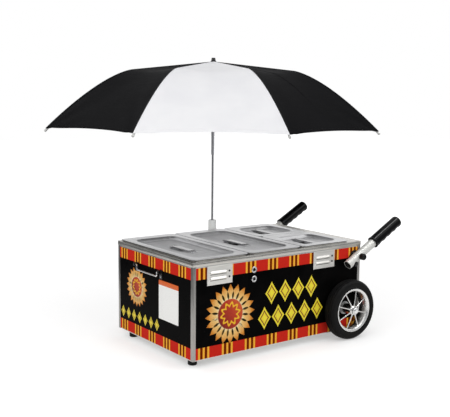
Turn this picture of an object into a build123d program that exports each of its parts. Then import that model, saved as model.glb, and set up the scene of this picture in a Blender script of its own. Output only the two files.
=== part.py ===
import math
import os

from build123d import *

os.makedirs("parts", exist_ok=True)

# All sizes in millimetres. The umbrella pole stands on the origin, the floor is z = 0,
# x runs along the cart to the handle end and y runs from the front to the back.

# Cabinet
body_len = 688.0
body_dep = 450.0
body_high = 300.0
foot_high = 25.0
sheet = 1.2
pole_from_left = 400.0
pole_behind = 20.0

# Deck
deck_t = 1.5
deck_over = 3.0
lip_high = 14.0
lip_t = 1.5
deck_corner = 4.0
deck_shelf = 51.0

# Food pans and the water pan
pan_wall = 1.0
pan_depth = 95.0
pan_rim = 4.0
pan_flange = 5.0
pan_corner = 18.0
pan_play = 2.0
tank_depth = 185.0
tank_gap = 5.0
tank_corner = 12.0

# Lids
lid_margin = 6.0
lid_gap = 3.4
lid_t = 1.2
lid_skirt = 3.0
lid_corner = 17.0
lid_hang = 2.0
recess_deep = 11.0
recess_slope = 7.0
recess_side = 24.0
recess_back = 45.0
recess_front = 28.0
recess_corner = 30.0
dish_long = 112.0
short_dish_long = 80.0
dish_wide = 56.0
dish_deep = 11.0
strap_wide = 24.0
strap_t = 2.0
strap_rise = 3.0
strap_land = 9.0
strap_foot = 3.0
strap_ramp = 12.0

# Trims, vents, feet and studs
trim_leg = 10.0
trim_t = 1.2
vent_wide = 94.0
vent_high = 58.0
vent_t = 1.5
vent_under_deck = 47.0
vent_from_left = 97.0
vent_from_right = 166.0
louvre_long = 66.0
louvre_deep = 4.0
louvre_high = 12.0
louvre_pitch = 18.0
louvre_shift = 6.0
foot_r = 14.5
foot_edge = 2.0
foot_from_end = 30.0
foot_from_side = 46.0
screw_r = 3.2
screw_high = 1.6
screw_edge = 7.0
stud_head_r = 10.5
stud_hole_r = 5.0
stud_head_high = 3.0
stud_from_left = 228.0
stud_pitch = 29.0

# Wheels
wheel_d = 203.2
wheel_from_right = 67.0
wheel_gap = 4.0
tyre_wide = 44.0
rim_r = 73.5
bead_r = 68.5
well_r = 60.0
well_long = 22.0
flange_t = 2.5
rim_edge = 3.0
hub_r = 17.0
hub_long = 47.0
spoke_count = 8
spoke_wide = 4.0
spoke_t = 4.5
spoke_hub_out = 44.0
spoke_rim_out = 36.0
spoke_sunk = 3.0
spoke_start = 28.0
axle_r = 6.0
axle_flange_r = 22.0
axle_past = 4.0
cap_r = 13.0
cap_flange = 3.0
cap_high = 9.0
dome_r = 10.0
dome_edge = 5.0

# Handles
handle_tilt = 29.2
pivot_from_right = 27.5
pivot_up = 255.0
tube_r = 15.0
tube_wall = 2.5
tube_off = 20.0
tube_back_len = 55.0
tube_out_len = 78.0
grip_long = 142.0
grip_r = 20.0
grip_end = 8.0
grip_collar = 0.8
grip_collar_long = 5.0
finger_count = 4
finger_pitch = 28.0
finger_r = 18.0
finger_deep = 2.4
bolt_r = 4.0
collar_r = 9.0
stop_r = 8.4
stop_along = -30.9
stop_below = -10.2
notch_sweep = 45.0
bracket_t = 3.0
bracket_pivot_r = 16.8
bracket_stop_r = 14.0
bracket_screws = (-16.5, 12.6)
knob_r = 11.0
knob_long = 16.0
knob_edge = 3.0
knob_bore = 11.2
knob_flutes = 8
flute_r = 2.4

# Carrying pull
bail_from_mid = 26.0
bail_up = 243.0
bail_wide = 140.0
bail_drop = 16.0
bail_off = 9.0
bail_rod = 2.5
bail_bend = 6.0
eye_r = 5.5
eye_t = 8.0
plate_t = 2.0
lug_wide = 16.0
lug_high = 30.0
lug_screw_drop = 15.0

# Umbrella
pole_r = 4.4
pole_deep = 130.0
socket_r = 15.0
socket_up = 36.0
socket_floor = 8.0
ring_t = 3.0
ring_high = 12.0
ring_under_top = 45.0
ring_over_floor = 22.0
bracket_wide = 64.0
neck_wide = 24.0
canopy_up = 607.5
canopy_r = 602.0
canopy_t = 1.2
shoulder_r = 300.0
shoulder_drop = 33.0
skirt_drop = 200.0
skirt_bend = 1.5
skirt_lean = 0.1
skirt_steps = 5
peak_r = 9.0
gores = 8
rib_turn = 31.8
rib_wide = 4.0
rib_high = 5.0
rib_eye = 3.0
rib_under = 3.2
rib_past_hem = 6.0
rib_cap_r = 3.6
pin_r = 1.0
crown_pin_r = 15.0
crown_pin_drop = 14.0
crown_high = 16.5
crown_edge = 5.0
slot_floor = 5.0
stretch_wide = 3.0
stretch_at_r = 280.0
runner_drop = 234.0
runner_pin_r = 14.0
runner_long = 104.0
runner_wall = 1.6
runner_flange = 12.0
finial_r = 8.5
finial_tip_r = 6.5
finial_base_r = 10.0
finial_base = 3.0
finial_high = 11.0

# Controls on the right end
panel_wide = 190.0
panel_high = 112.0
panel_t = 2.0
panel_lap = 12.0
panel_corner = 6.0
panel_up = 190.0
control_y = 52.0
control_z = 14.0
lamp_z = 32.0
inlet_z = -22.0
lamp_r = 5.0
lamp_bezel_r = 6.5
lamp_high = 4.0
lamp_deep = 8.0
shaft_r = 3.0
shaft_long = 12.0
dial_r = 21.0
dial_t = 3.0
turn_r = 15.5
turn_high = 13.0
turn_flutes = 12
turn_flute_r = 2.6
pointer_wide = 2.4
pointer_long = 12.0
pointer_high = 1.4
stat_wide = 36.0
stat_high = 40.0
stat_deep = 28.0
frame_wide = 24.0
frame_high = 38.0
frame_t = 2.0
rocker_wide = 15.0
rocker_high = 24.4
rocker_play = 0.5
rocker_sweep = 1.8
rocker_tilt = 8.0
inlet_wide = 30.0
inlet_high = 22.0
inlet_deep = 24.0
inlet_flange = 6.0
inlet_wall = 2.5
inlet_pins = ((-7.0, -2.0), (0.0, 2.5), (7.0, -2.0))
blade_wide = 2.0
blade_high = 4.0
blade_long = 14.0

# Heating and draining
element_r = 4.0
element_up = 22.0
element_half = 60.0
element_bend = 40.0
element_end = 20.0
element_inset = 60.0
drain_from_left = 70.0
drain_under = 30.0
drain_inset = 60.0
pipe_r = 9.0
drain_hole_r = 7.0
cock_r = 14.0
cock_long = 26.0
cock_gap = 3.0
spout_out = 26.0
spout_drop = 30.0
stem_out = 16.0
stem_r = 4.0
stem_up = 19.0
lever_long = 72.0
lever_wide = 12.0
lever_t = 5.0
lever_hub_r = 8.0

# Clearances: seat within one body, running fit on a pin, air between bodies, overshoot of a cut
seat = 0.1
fit = 0.05
air = 0.4
notch_air = 0.6
over = 1.0

# Faces of the cabinet and levels of the deck
x_left = -pole_from_left
x_right = x_left + body_len
x_mid = (x_left + x_right) / 2
y_back = -pole_behind
y_front = y_back - body_dep
y_mid = (y_front + y_back) / 2
z_low = foot_high
z_top = z_low + body_high
deck_z = z_top + deck_t
lip_z = deck_z - lip_high
deck_len = body_len + 2 * deck_over
deck_dep = body_dep + 2 * deck_over
sides = (("front", y_front, 1), ("back", y_back, -1))

# Three columns of lids between the left margin and the bare shelf at the handle end; the last has two halves
lid_pitch = (deck_len - lid_margin - deck_shelf + lid_gap) / 3
lid_wide = lid_pitch - lid_gap
lid_dep = deck_dep - 2 * lid_margin
lid_first = x_left - deck_over + lid_margin + lid_wide / 2
lid_xs = [lid_first + i * lid_pitch for i in range(3)]
half_dep = (lid_dep - lid_gap) / 2
half_ys = (y_mid - (lid_dep - half_dep) / 2, y_mid + (lid_dep - half_dep) / 2)
lid_rows = (
    ("lid_left", lid_xs[0], y_mid, lid_dep),
    ("lid_middle", lid_xs[1], y_mid, lid_dep),
    ("lid_right_front", lid_xs[2], half_ys[0], half_dep),
    ("lid_right_back", lid_xs[2], half_ys[1], half_dep),
)
pan_inset = 2 * (lid_t + lid_hang + pan_flange)
pan_wide = lid_wide - pan_inset
lid_top = deck_z + pan_rim + air + lid_t

# Cabinet: welded sheet box, open at the top
wheel_x = x_right - wheel_from_right
axle_z = wheel_d / 2
vent_xs = (x_left + vent_from_left, x_right - vent_from_right)
vent_z = deck_z - vent_under_deck
louvre_zs = (vent_z - louvre_pitch / 2, vent_z + louvre_pitch / 2)
panel_z = z_low + panel_up
drain_x = x_left + drain_from_left
tank_z = z_top - tank_depth
drain_z = tank_z - drain_under
with BuildPart() as cabinet:
    with BuildSketch(Plane.XY.offset(z_low)):
        with Locations((x_mid, y_mid)):
            Rectangle(body_len, body_dep)
    extrude(amount=body_high)
    with BuildSketch(Plane.XY.offset(z_low + sheet)):
        with Locations((x_mid, y_mid)):
            Rectangle(body_len - 2 * sheet, body_dep - 2 * sheet)
    extrude(amount=body_high, mode=Mode.SUBTRACT)
    with BuildSketch(Plane.XZ.offset(over - y_front)):
        with Locations((wheel_x, axle_z)):
            Circle(axle_r + seat)
    extrude(amount=-(body_dep + 2 * over), mode=Mode.SUBTRACT)
    with BuildSketch(Plane.XZ.offset(over - y_front)):
        with Locations([(vx - louvre_shift, lz) for vx in vent_xs for lz in louvre_zs]):
            Rectangle(louvre_long - louvre_high, louvre_high / 2)
    extrude(amount=-(sheet + 2 * over), mode=Mode.SUBTRACT)
    with BuildSketch(Plane.YZ.offset(x_right + over)):
        with Locations((y_mid, panel_z)):
            Rectangle(panel_wide - 2 * panel_lap, panel_high - 2 * panel_lap)
    extrude(amount=-(sheet + 2 * over), mode=Mode.SUBTRACT)
    with BuildSketch(Plane.XZ.offset(-y_back - over)):
        with Locations((drain_x, drain_z)):
            Circle(pipe_r + seat)
    extrude(amount=sheet + 2 * over, mode=Mode.SUBTRACT)
cabinet.part.label = "cabinet"
export_step(cabinet.part, "parts/cabinet.step")

# Deck: stainless top with a turned-down lip and four pan openings
with BuildPart() as deck:
    with BuildSketch(Plane.XY.offset(lip_z)):
        with Locations((x_mid, y_mid)):
            RectangleRounded(deck_len, deck_dep, deck_corner)
    extrude(amount=lip_high)
    with BuildSketch(Plane.XY.offset(lip_z)):
        with Locations((x_mid, y_mid)):
            Rectangle(deck_len - 2 * lip_t, deck_dep - 2 * lip_t)
    extrude(amount=lip_high - deck_t, mode=Mode.SUBTRACT)
    with BuildSketch(Plane.XY.offset(z_top)):
        for label, lx, ly, dep in lid_rows:
            with Locations((lx, ly)):
                hole_dep = dep - pan_inset + 2 * pan_play
                RectangleRounded(pan_wide + 2 * pan_play, hole_dep, pan_corner + pan_play)
    extrude(amount=deck_t, mode=Mode.SUBTRACT)
deck.part.label = "deck"
export_step(deck.part, "parts/deck.step")

# Corner trims: four stainless angles on the upright edges
with BuildPart() as corner_trims:
    with BuildSketch(Plane.XY.offset(z_low)):
        with Locations((x_mid, y_mid)):
            Rectangle(body_len + 2 * trim_t, body_dep + 2 * trim_t)
            Rectangle(body_len, body_dep, mode=Mode.SUBTRACT)
            Rectangle(body_len - 2 * trim_leg, body_dep + 4 * trim_t, mode=Mode.SUBTRACT)
            Rectangle(body_len + 4 * trim_t, body_dep - 2 * trim_leg, mode=Mode.SUBTRACT)
    extrude(amount=lip_z - air - z_low)
corner_trims.part.label = "corner_trims"
export_step(corner_trims.part, "parts/corner_trims.step")

# Vent plates: two louvred plates high on the front
vent_face = y_front - vent_t
with BuildPart() as vent_plates:
    with BuildSketch(Plane.XZ.offset(-y_front)):
        with Locations([(vx, vent_z) for vx in vent_xs]):
            Rectangle(vent_wide, vent_high)
    extrude(amount=vent_t)
    for vx in vent_xs:
        for lz in louvre_zs:
            with BuildSketch(Plane.YZ.offset(vx - louvre_shift)):
                with BuildLine():
                    Polyline(
                        (vent_face, lz - louvre_high / 2),
                        (vent_face - louvre_deep, lz - louvre_high / 4),
                        (vent_face - louvre_deep, lz - louvre_high / 8),
                        (vent_face, lz + louvre_high / 2),
                        close=True,
                    )
                make_face()
            extrude(amount=louvre_long / 2, both=True)
vent_plates.part.label = "vent_plates"
export_step(vent_plates.part, "parts/vent_plates.step")

# Feet: two rubber feet under the left end
foot_x = x_left + foot_from_end
foot_ys = (y_front + foot_from_side, y_back - foot_from_side)
with BuildPart() as feet:
    for fy in foot_ys:
        with BuildSketch(Plane.XZ.offset(-fy)):
            with BuildLine():
                Polyline(
                    (foot_x, 0),
                    (foot_x + foot_r - foot_edge, 0),
                    (foot_x + foot_r, foot_edge),
                    (foot_x + foot_r, foot_high),
                    (foot_x, foot_high),
                    close=True,
                )
            make_face()
        revolve(axis=Axis((foot_x, fy, 0), (0, 0, 1)))
feet.part.label = "feet"
export_step(feet.part, "parts/feet.step")

# Axle: one rod through the cabinet with a flange against each side wall
hub_out = wheel_gap + hub_long
axle_end = hub_out + over + axle_past
with BuildPart() as axle:
    with BuildSketch(Plane.XZ.offset(axle_end - y_front)):
        with Locations((wheel_x, axle_z)):
            Circle(axle_r)
    extrude(amount=-(body_dep + 2 * axle_end))
    for side, face, s in sides:
        with BuildSketch(Plane.XZ.offset(-face)):
            with Locations((wheel_x, axle_z)):
                Circle(axle_flange_r)
        extrude(amount=s * (wheel_gap - over))
axle.part.label = "axle"
export_step(axle.part, "parts/axle.step")

# Axle caps: domed nuts that keep the wheels on
wheel_axis = Axis((wheel_x, 0, axle_z), (0, 1, 0))
with BuildPart() as axle_caps:
    for side, face, s in sides:
        cap_y = face - s * (hub_out + over)
        with BuildSketch(Plane.XZ.offset(-cap_y)):
            with Locations((wheel_x, axle_z)):
                Circle(dome_r)
        extrude(amount=s * cap_high)
        fillet(axle_caps.edges().sort_by(Axis.Y)[::s][0], dome_edge)
        with BuildSketch(Plane.XZ.offset(-cap_y)):
            with Locations((wheel_x, axle_z)):
                Circle(cap_r)
        extrude(amount=s * cap_flange)
        with BuildSketch(Plane.XZ.offset(-cap_y)):
            with Locations((wheel_x, axle_z)):
                Circle(axle_r + seat)
        extrude(amount=s * (axle_past + seat), mode=Mode.SUBTRACT)
axle_caps.part.label = "axle_caps"
export_step(axle_caps.part, "parts/axle_caps.step")

# Wheels: silver rim with hub and spokes, black tyre on its bead seat
tyre_r = wheel_d / 2
rim_in = wheel_gap + flange_t - seat
rim_out = wheel_gap + tyre_wide
for side, face, s in sides:
    with BuildPart() as rim:
        with BuildSketch(Plane.YZ.offset(wheel_x)):
            with BuildLine():
                Polyline(
                    (face - s * rim_in, axle_z + rim_r),
                    (face - s * rim_in, axle_z + rim_r - rim_edge),
                    (face - s * (rim_in + flange_t), axle_z + well_r),
                    (face - s * (rim_in + well_long), axle_z + well_r),
                    (face - s * (rim_out - flange_t), axle_z + bead_r - rim_edge),
                    (face - s * rim_out, axle_z + rim_r - rim_edge),
                    (face - s * rim_out, axle_z + rim_r),
                    (face - s * (rim_out - flange_t), axle_z + rim_r),
                    (face - s * (rim_out - flange_t), axle_z + bead_r),
                    (face - s * (rim_in + flange_t), axle_z + bead_r),
                    (face - s * (rim_in + flange_t), axle_z + rim_r),
                    close=True,
                )
            make_face()
        revolve(axis=wheel_axis)
        for i in range(spoke_count):
            turn = math.radians(spoke_start + 360 / spoke_count * i)
            out = (math.cos(turn), 0, math.sin(turn))
            across = (-math.sin(turn), 0, math.cos(turn))
            with BuildSketch(Plane(origin=(wheel_x, face, axle_z), x_dir=out, z_dir=across)):
                with BuildLine():
                    Polyline(
                        (hub_r - spoke_sunk, -s * (spoke_hub_out - spoke_t / 2)),
                        (hub_r - spoke_sunk, -s * (spoke_hub_out + spoke_t / 2)),
                        ((well_r + bead_r) / 2, -s * (spoke_rim_out + spoke_t / 2)),
                        ((well_r + bead_r) / 2, -s * (spoke_rim_out - spoke_t / 2)),
                        close=True,
                    )
                make_face()
            extrude(amount=spoke_wide / 2, both=True)
        with BuildSketch(Plane.XZ.offset(-(face - s * wheel_gap))):
            with Locations((wheel_x, axle_z)):
                Circle(hub_r)
        extrude(amount=s * hub_long)
        with BuildSketch(Plane.XZ.offset(-(face - s * wheel_gap))):
            with Locations((wheel_x, axle_z)):
                Circle(axle_r + fit)
        extrude(amount=s * hub_long, mode=Mode.SUBTRACT)
    rim.part.label = "rim_" + side
    export_step(rim.part, "parts/rim_" + side + ".step")
    seat_in = face - s * (rim_in + flange_t + seat)
    seat_out = face - s * (rim_out - flange_t - seat)
    bulge_in = face - s * wheel_gap
    bulge_out = face - s * (wheel_gap + tyre_wide)
    crown_y = face - s * (wheel_gap + tyre_wide / 2)
    bulge_z = axle_z + (rim_r + tyre_r) / 2
    with BuildPart() as tyre:
        with BuildSketch(Plane.YZ.offset(wheel_x)):
            with BuildLine():
                Polyline(
                    (seat_out, axle_z + rim_r + seat),
                    (seat_out, axle_z + bead_r + seat),
                    (seat_in, axle_z + bead_r + seat),
                    (seat_in, axle_z + rim_r + seat),
                )
                Spline(
                    (seat_in, axle_z + rim_r + seat),
                    (bulge_in, bulge_z),
                    (crown_y, axle_z + tyre_r),
                    (bulge_out, bulge_z),
                    (seat_out, axle_z + rim_r + seat),
                )
            make_face()
        revolve(axis=wheel_axis)
    tyre.part.label = "tyre_" + side
    export_step(tyre.part, "parts/tyre_" + side + ".step")

# Water pan: hangs under the deck around the food pans
tank_x0 = x_left + sheet + tank_gap
tank_x1 = lid_xs[2] + lid_wide / 2
tank_mid = ((tank_x0 + tank_x1) / 2, y_mid)
tank_len = tank_x1 - tank_x0
tank_dep = body_dep - 2 * sheet - 2 * tank_gap
element_z = tank_z + element_up
element_ys = (y_mid - element_half, y_mid + element_half)
drain_y = y_back - drain_inset
with BuildPart() as water_pan:
    with BuildSketch(Plane.XY.offset(tank_z)):
        with Locations(tank_mid):
            RectangleRounded(tank_len, tank_dep, tank_corner)
    extrude(amount=tank_depth)
    with BuildSketch(Plane.XY.offset(tank_z + pan_wall)):
        with Locations(tank_mid):
            RectangleRounded(tank_len - 2 * pan_wall, tank_dep - 2 * pan_wall, tank_corner - pan_wall)
    extrude(amount=tank_depth, mode=Mode.SUBTRACT)
    with BuildSketch(Plane.YZ.offset(tank_x1 + over)):
        with Locations([(ey, element_z) for ey in element_ys]):
            Circle(element_r + seat)
    extrude(amount=-(pan_wall + 2 * over), mode=Mode.SUBTRACT)
    with BuildSketch(Plane.XY.offset(tank_z - over)):
        with Locations((drain_x, drain_y)):
            Circle(drain_hole_r)
    extrude(amount=pan_wall + 2 * over, mode=Mode.SUBTRACT)
water_pan.part.label = "water_pan"
export_step(water_pan.part, "parts/water_pan.step")

# Heating element: bent tube lying in the water, both ends out through the pan wall
with BuildPart() as heating_element:
    with BuildLine() as element_line:
        FilletPolyline(
            (tank_x1 + element_end, element_ys[0], element_z),
            (tank_x0 + element_inset, element_ys[0], element_z),
            (tank_x0 + element_inset, element_ys[1], element_z),
            (tank_x1 + element_end, element_ys[1], element_z),
            radius=element_bend,
        )
    with BuildSketch(Plane(element_line.line @ 0, z_dir=element_line.line % 0)):
        Circle(element_r)
    sweep()
heating_element.part.label = "heating_element"
export_step(heating_element.part, "parts/heating_element.step")

# Food pans: two long and two half pans hung by their rims in the deck openings
pan_z = deck_z - pan_depth
with BuildPart() as food_pans:
    for label, lx, ly, dep in lid_rows:
        pan_dep = dep - pan_inset
        with BuildSketch(Plane.XY.offset(pan_z)):
            with Locations((lx, ly)):
                RectangleRounded(pan_wide, pan_dep, pan_corner)
        extrude(amount=pan_depth + pan_rim)
        with BuildSketch(Plane.XY.offset(deck_z)):
            with Locations((lx, ly)):
                RectangleRounded(pan_wide + 2 * pan_flange, pan_dep + 2 * pan_flange, pan_corner)
        extrude(amount=pan_rim)
        with BuildSketch(Plane.XY.offset(pan_z + pan_wall)):
            with Locations((lx, ly)):
                RectangleRounded(pan_wide - 2 * pan_wall, pan_dep - 2 * pan_wall, pan_corner - pan_wall)
        extrude(amount=pan_depth + pan_rim, mode=Mode.SUBTRACT)
food_pans.part.label = "food_pans"
export_step(food_pans.part, "parts/food_pans.step")

# Lids: pressed covers with a sunk middle and a strap over a finger dish
recess_wide = lid_wide - 2 * recess_side
recess_shift = (recess_front - recess_back) / 2
floor_wide = recess_wide - 2 * recess_slope
floor_corner = recess_corner - recess_slope
floor_z = lid_top - recess_deep
strap_z = floor_z + strap_rise
for label, lx, ly, dep in lid_rows:
    recess_dep = dep - recess_front - recess_back
    floor_dep = recess_dep - 2 * recess_slope
    middle = (lx, ly + recess_shift)
    if dep == lid_dep:
        dish, strap_dir, strap_side, slot_turn = dish_long, (0, 1, 0), (1, 0, 0), 90
    else:
        dish, strap_dir, strap_side, slot_turn = short_dish_long, (1, 0, 0), (0, -1, 0), 0
    with BuildPart() as lid:
        with BuildSketch(Plane.XY.offset(lid_top - lid_skirt)):
            with Locations((lx, ly)):
                RectangleRounded(lid_wide, dep, lid_corner)
        extrude(amount=lid_skirt)
        with BuildSketch(Plane.XY.offset(lid_top - lid_skirt)):
            with Locations((lx, ly)):
                RectangleRounded(lid_wide - 2 * lid_t, dep - 2 * lid_t, lid_corner - lid_t)
        extrude(amount=lid_skirt - lid_t, mode=Mode.SUBTRACT)
        with BuildSketch(Plane.XY.offset(floor_z - lid_t)):
            with Locations(middle):
                RectangleRounded(floor_wide, floor_dep, floor_corner)
        with BuildSketch(Plane.XY.offset(lid_top - lid_t)):
            with Locations(middle):
                RectangleRounded(recess_wide, recess_dep, recess_corner)
        loft(ruled=True)
        with BuildSketch(Plane.XY.offset(floor_z)):
            with Locations(middle):
                RectangleRounded(floor_wide - 2 * lid_t, floor_dep - 2 * lid_t, floor_corner - lid_t)
        with BuildSketch(Plane.XY.offset(lid_top)):
            with Locations(middle):
                RectangleRounded(recess_wide - 2 * lid_t, recess_dep - 2 * lid_t, recess_corner - lid_t)
        loft(ruled=True, mode=Mode.SUBTRACT)
        with BuildSketch(Plane.XY.offset(floor_z - dish_deep - lid_t)):
            with Locations(middle):
                SlotOverall(dish + 2 * lid_t, dish_wide + 2 * lid_t, rotation=slot_turn)
        extrude(amount=dish_deep + lid_t)
        with BuildSketch(Plane.XY.offset(floor_z - dish_deep)):
            with Locations(middle):
                SlotOverall(dish, dish_wide, rotation=slot_turn)
        extrude(amount=dish_deep, mode=Mode.SUBTRACT)
        with BuildSketch(Plane(origin=(middle[0], middle[1], 0), x_dir=strap_dir, z_dir=strap_side)):
            with BuildLine():
                Polyline(
                    (-dish / 2 - strap_land, floor_z - lid_t / 2),
                    (-dish / 2 - strap_land, floor_z + strap_t),
                    (-dish / 2 - strap_foot, floor_z + strap_t),
                    (-dish / 2 + strap_ramp, strap_z + strap_t),
                    (dish / 2 - strap_ramp, strap_z + strap_t),
                    (dish / 2 + strap_foot, floor_z + strap_t),
                    (dish / 2 + strap_land, floor_z + strap_t),
                    (dish / 2 + strap_land, floor_z - lid_t / 2),
                    (dish / 2 + strap_foot, floor_z - lid_t / 2),
                    (dish / 2 - strap_ramp, strap_z),
                    (-dish / 2 + strap_ramp, strap_z),
                    (-dish / 2 - strap_foot, floor_z - lid_t / 2),
                    close=True,
                )
            make_face()
        extrude(amount=strap_wide / 2, both=True)
    lid.part.label = label
    export_step(lid.part, "parts/" + label + ".step")

# Control panel: plate on the right end, with a raised frame for the switch
panel_x = x_right + panel_t
dial_at = (y_mid + control_y, panel_z + control_z)
switch_at = (y_mid - control_y, panel_z + control_z)
lamp_at = (y_mid, panel_z + lamp_z)
inlet_at = (y_mid, panel_z + inlet_z)
with BuildPart() as control_panel:
    with BuildSketch(Plane.YZ.offset(x_right)):
        with Locations((y_mid, panel_z)):
            RectangleRounded(panel_wide, panel_high, panel_corner)
    extrude(amount=panel_t)
    with BuildSketch(Plane.YZ.offset(panel_x)):
        with Locations(switch_at):
            Rectangle(frame_wide, frame_high)
    extrude(amount=frame_t)
    with BuildSketch(Plane.YZ.offset(x_right)):
        with Locations(switch_at):
            Rectangle(rocker_wide + 2 * rocker_play, rocker_high + 2 * rocker_sweep)
        with Locations(dial_at):
            Circle(shaft_r + air)
        with Locations(lamp_at):
            Circle(lamp_r + seat)
        with Locations(inlet_at):
            Rectangle(inlet_wide + 2 * seat, inlet_high + 2 * seat)
    extrude(amount=panel_t + frame_t, mode=Mode.SUBTRACT)
control_panel.part.label = "control_panel"
export_step(control_panel.part, "parts/control_panel.step")

# Thermostat: switch block behind the panel with its shaft through it
with BuildPart() as thermostat:
    with BuildSketch(Plane.YZ.offset(x_right)):
        with Locations(dial_at):
            Rectangle(stat_wide, stat_high)
    extrude(amount=-stat_deep)
    with BuildSketch(Plane.YZ.offset(x_right)):
        with Locations(dial_at):
            Circle(shaft_r)
    extrude(amount=panel_t + shaft_long)
thermostat.part.label = "thermostat"
export_step(thermostat.part, "parts/thermostat.step")

# Thermostat knob: dial with a fluted grip and a pointer ridge
dial_x = panel_x + air
turn_x = dial_x + dial_t
with BuildPart() as thermostat_knob:
    with BuildSketch(Plane.YZ.offset(dial_x)):
        with Locations(dial_at):
            Circle(dial_r)
    extrude(amount=dial_t)
    with BuildSketch(Plane.YZ.offset(turn_x)):
        with Locations(dial_at):
            Circle(turn_r)
            with PolarLocations(turn_r + turn_flute_r / 2, turn_flutes):
                Circle(turn_flute_r, mode=Mode.SUBTRACT)
    extrude(amount=turn_high)
    with BuildSketch(Plane.YZ.offset(turn_x + turn_high)):
        with Locations((dial_at[0], dial_at[1] + turn_r - pointer_long / 2 - turn_flute_r)):
            Rectangle(pointer_wide, pointer_long)
    extrude(amount=pointer_high)
    with BuildSketch(Plane.YZ.offset(dial_x)):
        with Locations(dial_at):
            Circle(shaft_r + fit)
    extrude(amount=shaft_long, mode=Mode.SUBTRACT)
thermostat_knob.part.label = "thermostat_knob"
export_step(thermostat_knob.part, "parts/thermostat_knob.step")

# Power switch: rocker in its frame, standing at off
rock = math.radians(rocker_tilt)
rock_x = panel_x - panel_t / 2
rock_half = rocker_high / 2
rock_front = frame_t + panel_t + rocker_sweep
rock_shape = (
    (-panel_t, -rock_half / 2),
    (-panel_t, rock_half / 2),
    (panel_t, rock_half),
    (rock_front, rock_half),
    (rock_front - rocker_sweep, 0),
    (rock_front, -rock_half),
    (panel_t, -rock_half),
)
rock_turned = [
    (
        rock_x + px * math.cos(rock) - pz * math.sin(rock),
        switch_at[1] + px * math.sin(rock) + pz * math.cos(rock),
    )
    for px, pz in rock_shape
]
with BuildPart() as power_switch:
    with BuildSketch(Plane.XZ.offset(-switch_at[0])):
        with BuildLine():
            Polyline(*rock_turned, close=True)
        make_face()
    extrude(amount=rocker_wide / 2, both=True)
power_switch.part.label = "power_switch"
export_step(power_switch.part, "parts/power_switch.step")

# Pilot lamp: lens in the panel
with BuildPart() as pilot_lamp:
    with BuildSketch(Plane.YZ.offset(x_right - lamp_deep)):
        with Locations(lamp_at):
            Circle(lamp_r)
    extrude(amount=lamp_deep + panel_t)
    with BuildSketch(Plane.YZ.offset(panel_x)):
        with Locations(lamp_at):
            Circle(lamp_bezel_r)
    with BuildSketch(Plane.YZ.offset(panel_x + lamp_high)):
        with Locations(lamp_at):
            Circle(lamp_r)
    loft()
pilot_lamp.part.label = "pilot_lamp"
export_step(pilot_lamp.part, "parts/pilot_lamp.step")

# Power inlet: recessed three-blade connector for a detachable cord
inlet_face = panel_x + panel_t
with BuildPart() as power_inlet:
    with BuildSketch(Plane.YZ.offset(x_right - inlet_deep)):
        with Locations(inlet_at):
            Rectangle(inlet_wide, inlet_high)
    extrude(amount=inlet_deep + panel_t)
    with BuildSketch(Plane.YZ.offset(panel_x)):
        with Locations(inlet_at):
            RectangleRounded(inlet_wide + 2 * inlet_flange, inlet_high + inlet_flange, inlet_wall)
    extrude(amount=panel_t)
    with BuildSketch(Plane.YZ.offset(inlet_face)):
        with Locations(inlet_at):
            RectangleRounded(inlet_wide - 2 * inlet_wall, inlet_high - 2 * inlet_wall, inlet_wall)
    extrude(amount=-(inlet_deep - inlet_wall), mode=Mode.SUBTRACT)
    with BuildSketch(Plane.YZ.offset(inlet_face - inlet_deep + inlet_wall)):
        with Locations([(inlet_at[0] + by, inlet_at[1] + bz) for by, bz in inlet_pins]):
            Rectangle(blade_wide, blade_high)
    extrude(amount=blade_long)
power_inlet.part.label = "power_inlet"
export_step(power_inlet.part, "parts/power_inlet.step")

# Drain valve: pipe from the pan floor out through the back wall to a cock with a spout
spout_y = y_back + spout_out
stem_y = y_back + stem_out
stem_z = drain_z + stem_up
with BuildPart() as drain_valve:
    with BuildSketch(Plane.XY.offset(drain_z)):
        with Locations((drain_x, drain_y)):
            Circle(pipe_r)
            Circle(drain_hole_r, mode=Mode.SUBTRACT)
    extrude(amount=drain_under)
    with BuildSketch(Plane.XZ.offset(pipe_r - drain_y)):
        with Locations((drain_x, drain_z)):
            Circle(pipe_r)
    extrude(amount=-(spout_y - drain_y + 2 * pipe_r))
    with BuildSketch(Plane.XZ.offset(-(y_back + cock_gap))):
        with Locations((drain_x, drain_z)):
            RegularPolygon(cock_r, 6)
    extrude(amount=-cock_long)
    with BuildSketch(Plane.XY.offset(drain_z)):
        with Locations((drain_x, spout_y)):
            Circle(pipe_r)
    extrude(amount=-spout_drop)
    with BuildSketch(Plane.XY.offset(drain_z - spout_drop)):
        with Locations((drain_x, spout_y)):
            Circle(drain_hole_r)
    extrude(amount=spout_drop, mode=Mode.SUBTRACT)
    with BuildSketch(Plane.XY.offset(drain_z)):
        with Locations((drain_x, stem_y)):
            Circle(stem_r)
    extrude(amount=stem_up)
drain_valve.part.label = "drain_valve"
export_step(drain_valve.part, "parts/drain_valve.step")

# Drain lever: flat handle on the valve stem, shown shut
with BuildPart() as drain_lever:
    with BuildSketch(Plane.XY.offset(stem_z - lever_t + over)):
        with Locations((drain_x, stem_y)):
            Circle(lever_hub_r)
        with Locations((drain_x + (lever_long - lever_wide) / 2, stem_y)):
            SlotOverall(lever_long, lever_wide)
        with Locations((drain_x, stem_y)):
            Circle(stem_r + fit, mode=Mode.SUBTRACT)
    extrude(amount=lever_t)
drain_lever.part.label = "drain_lever"
export_step(drain_lever.part, "parts/drain_lever.step")

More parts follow.
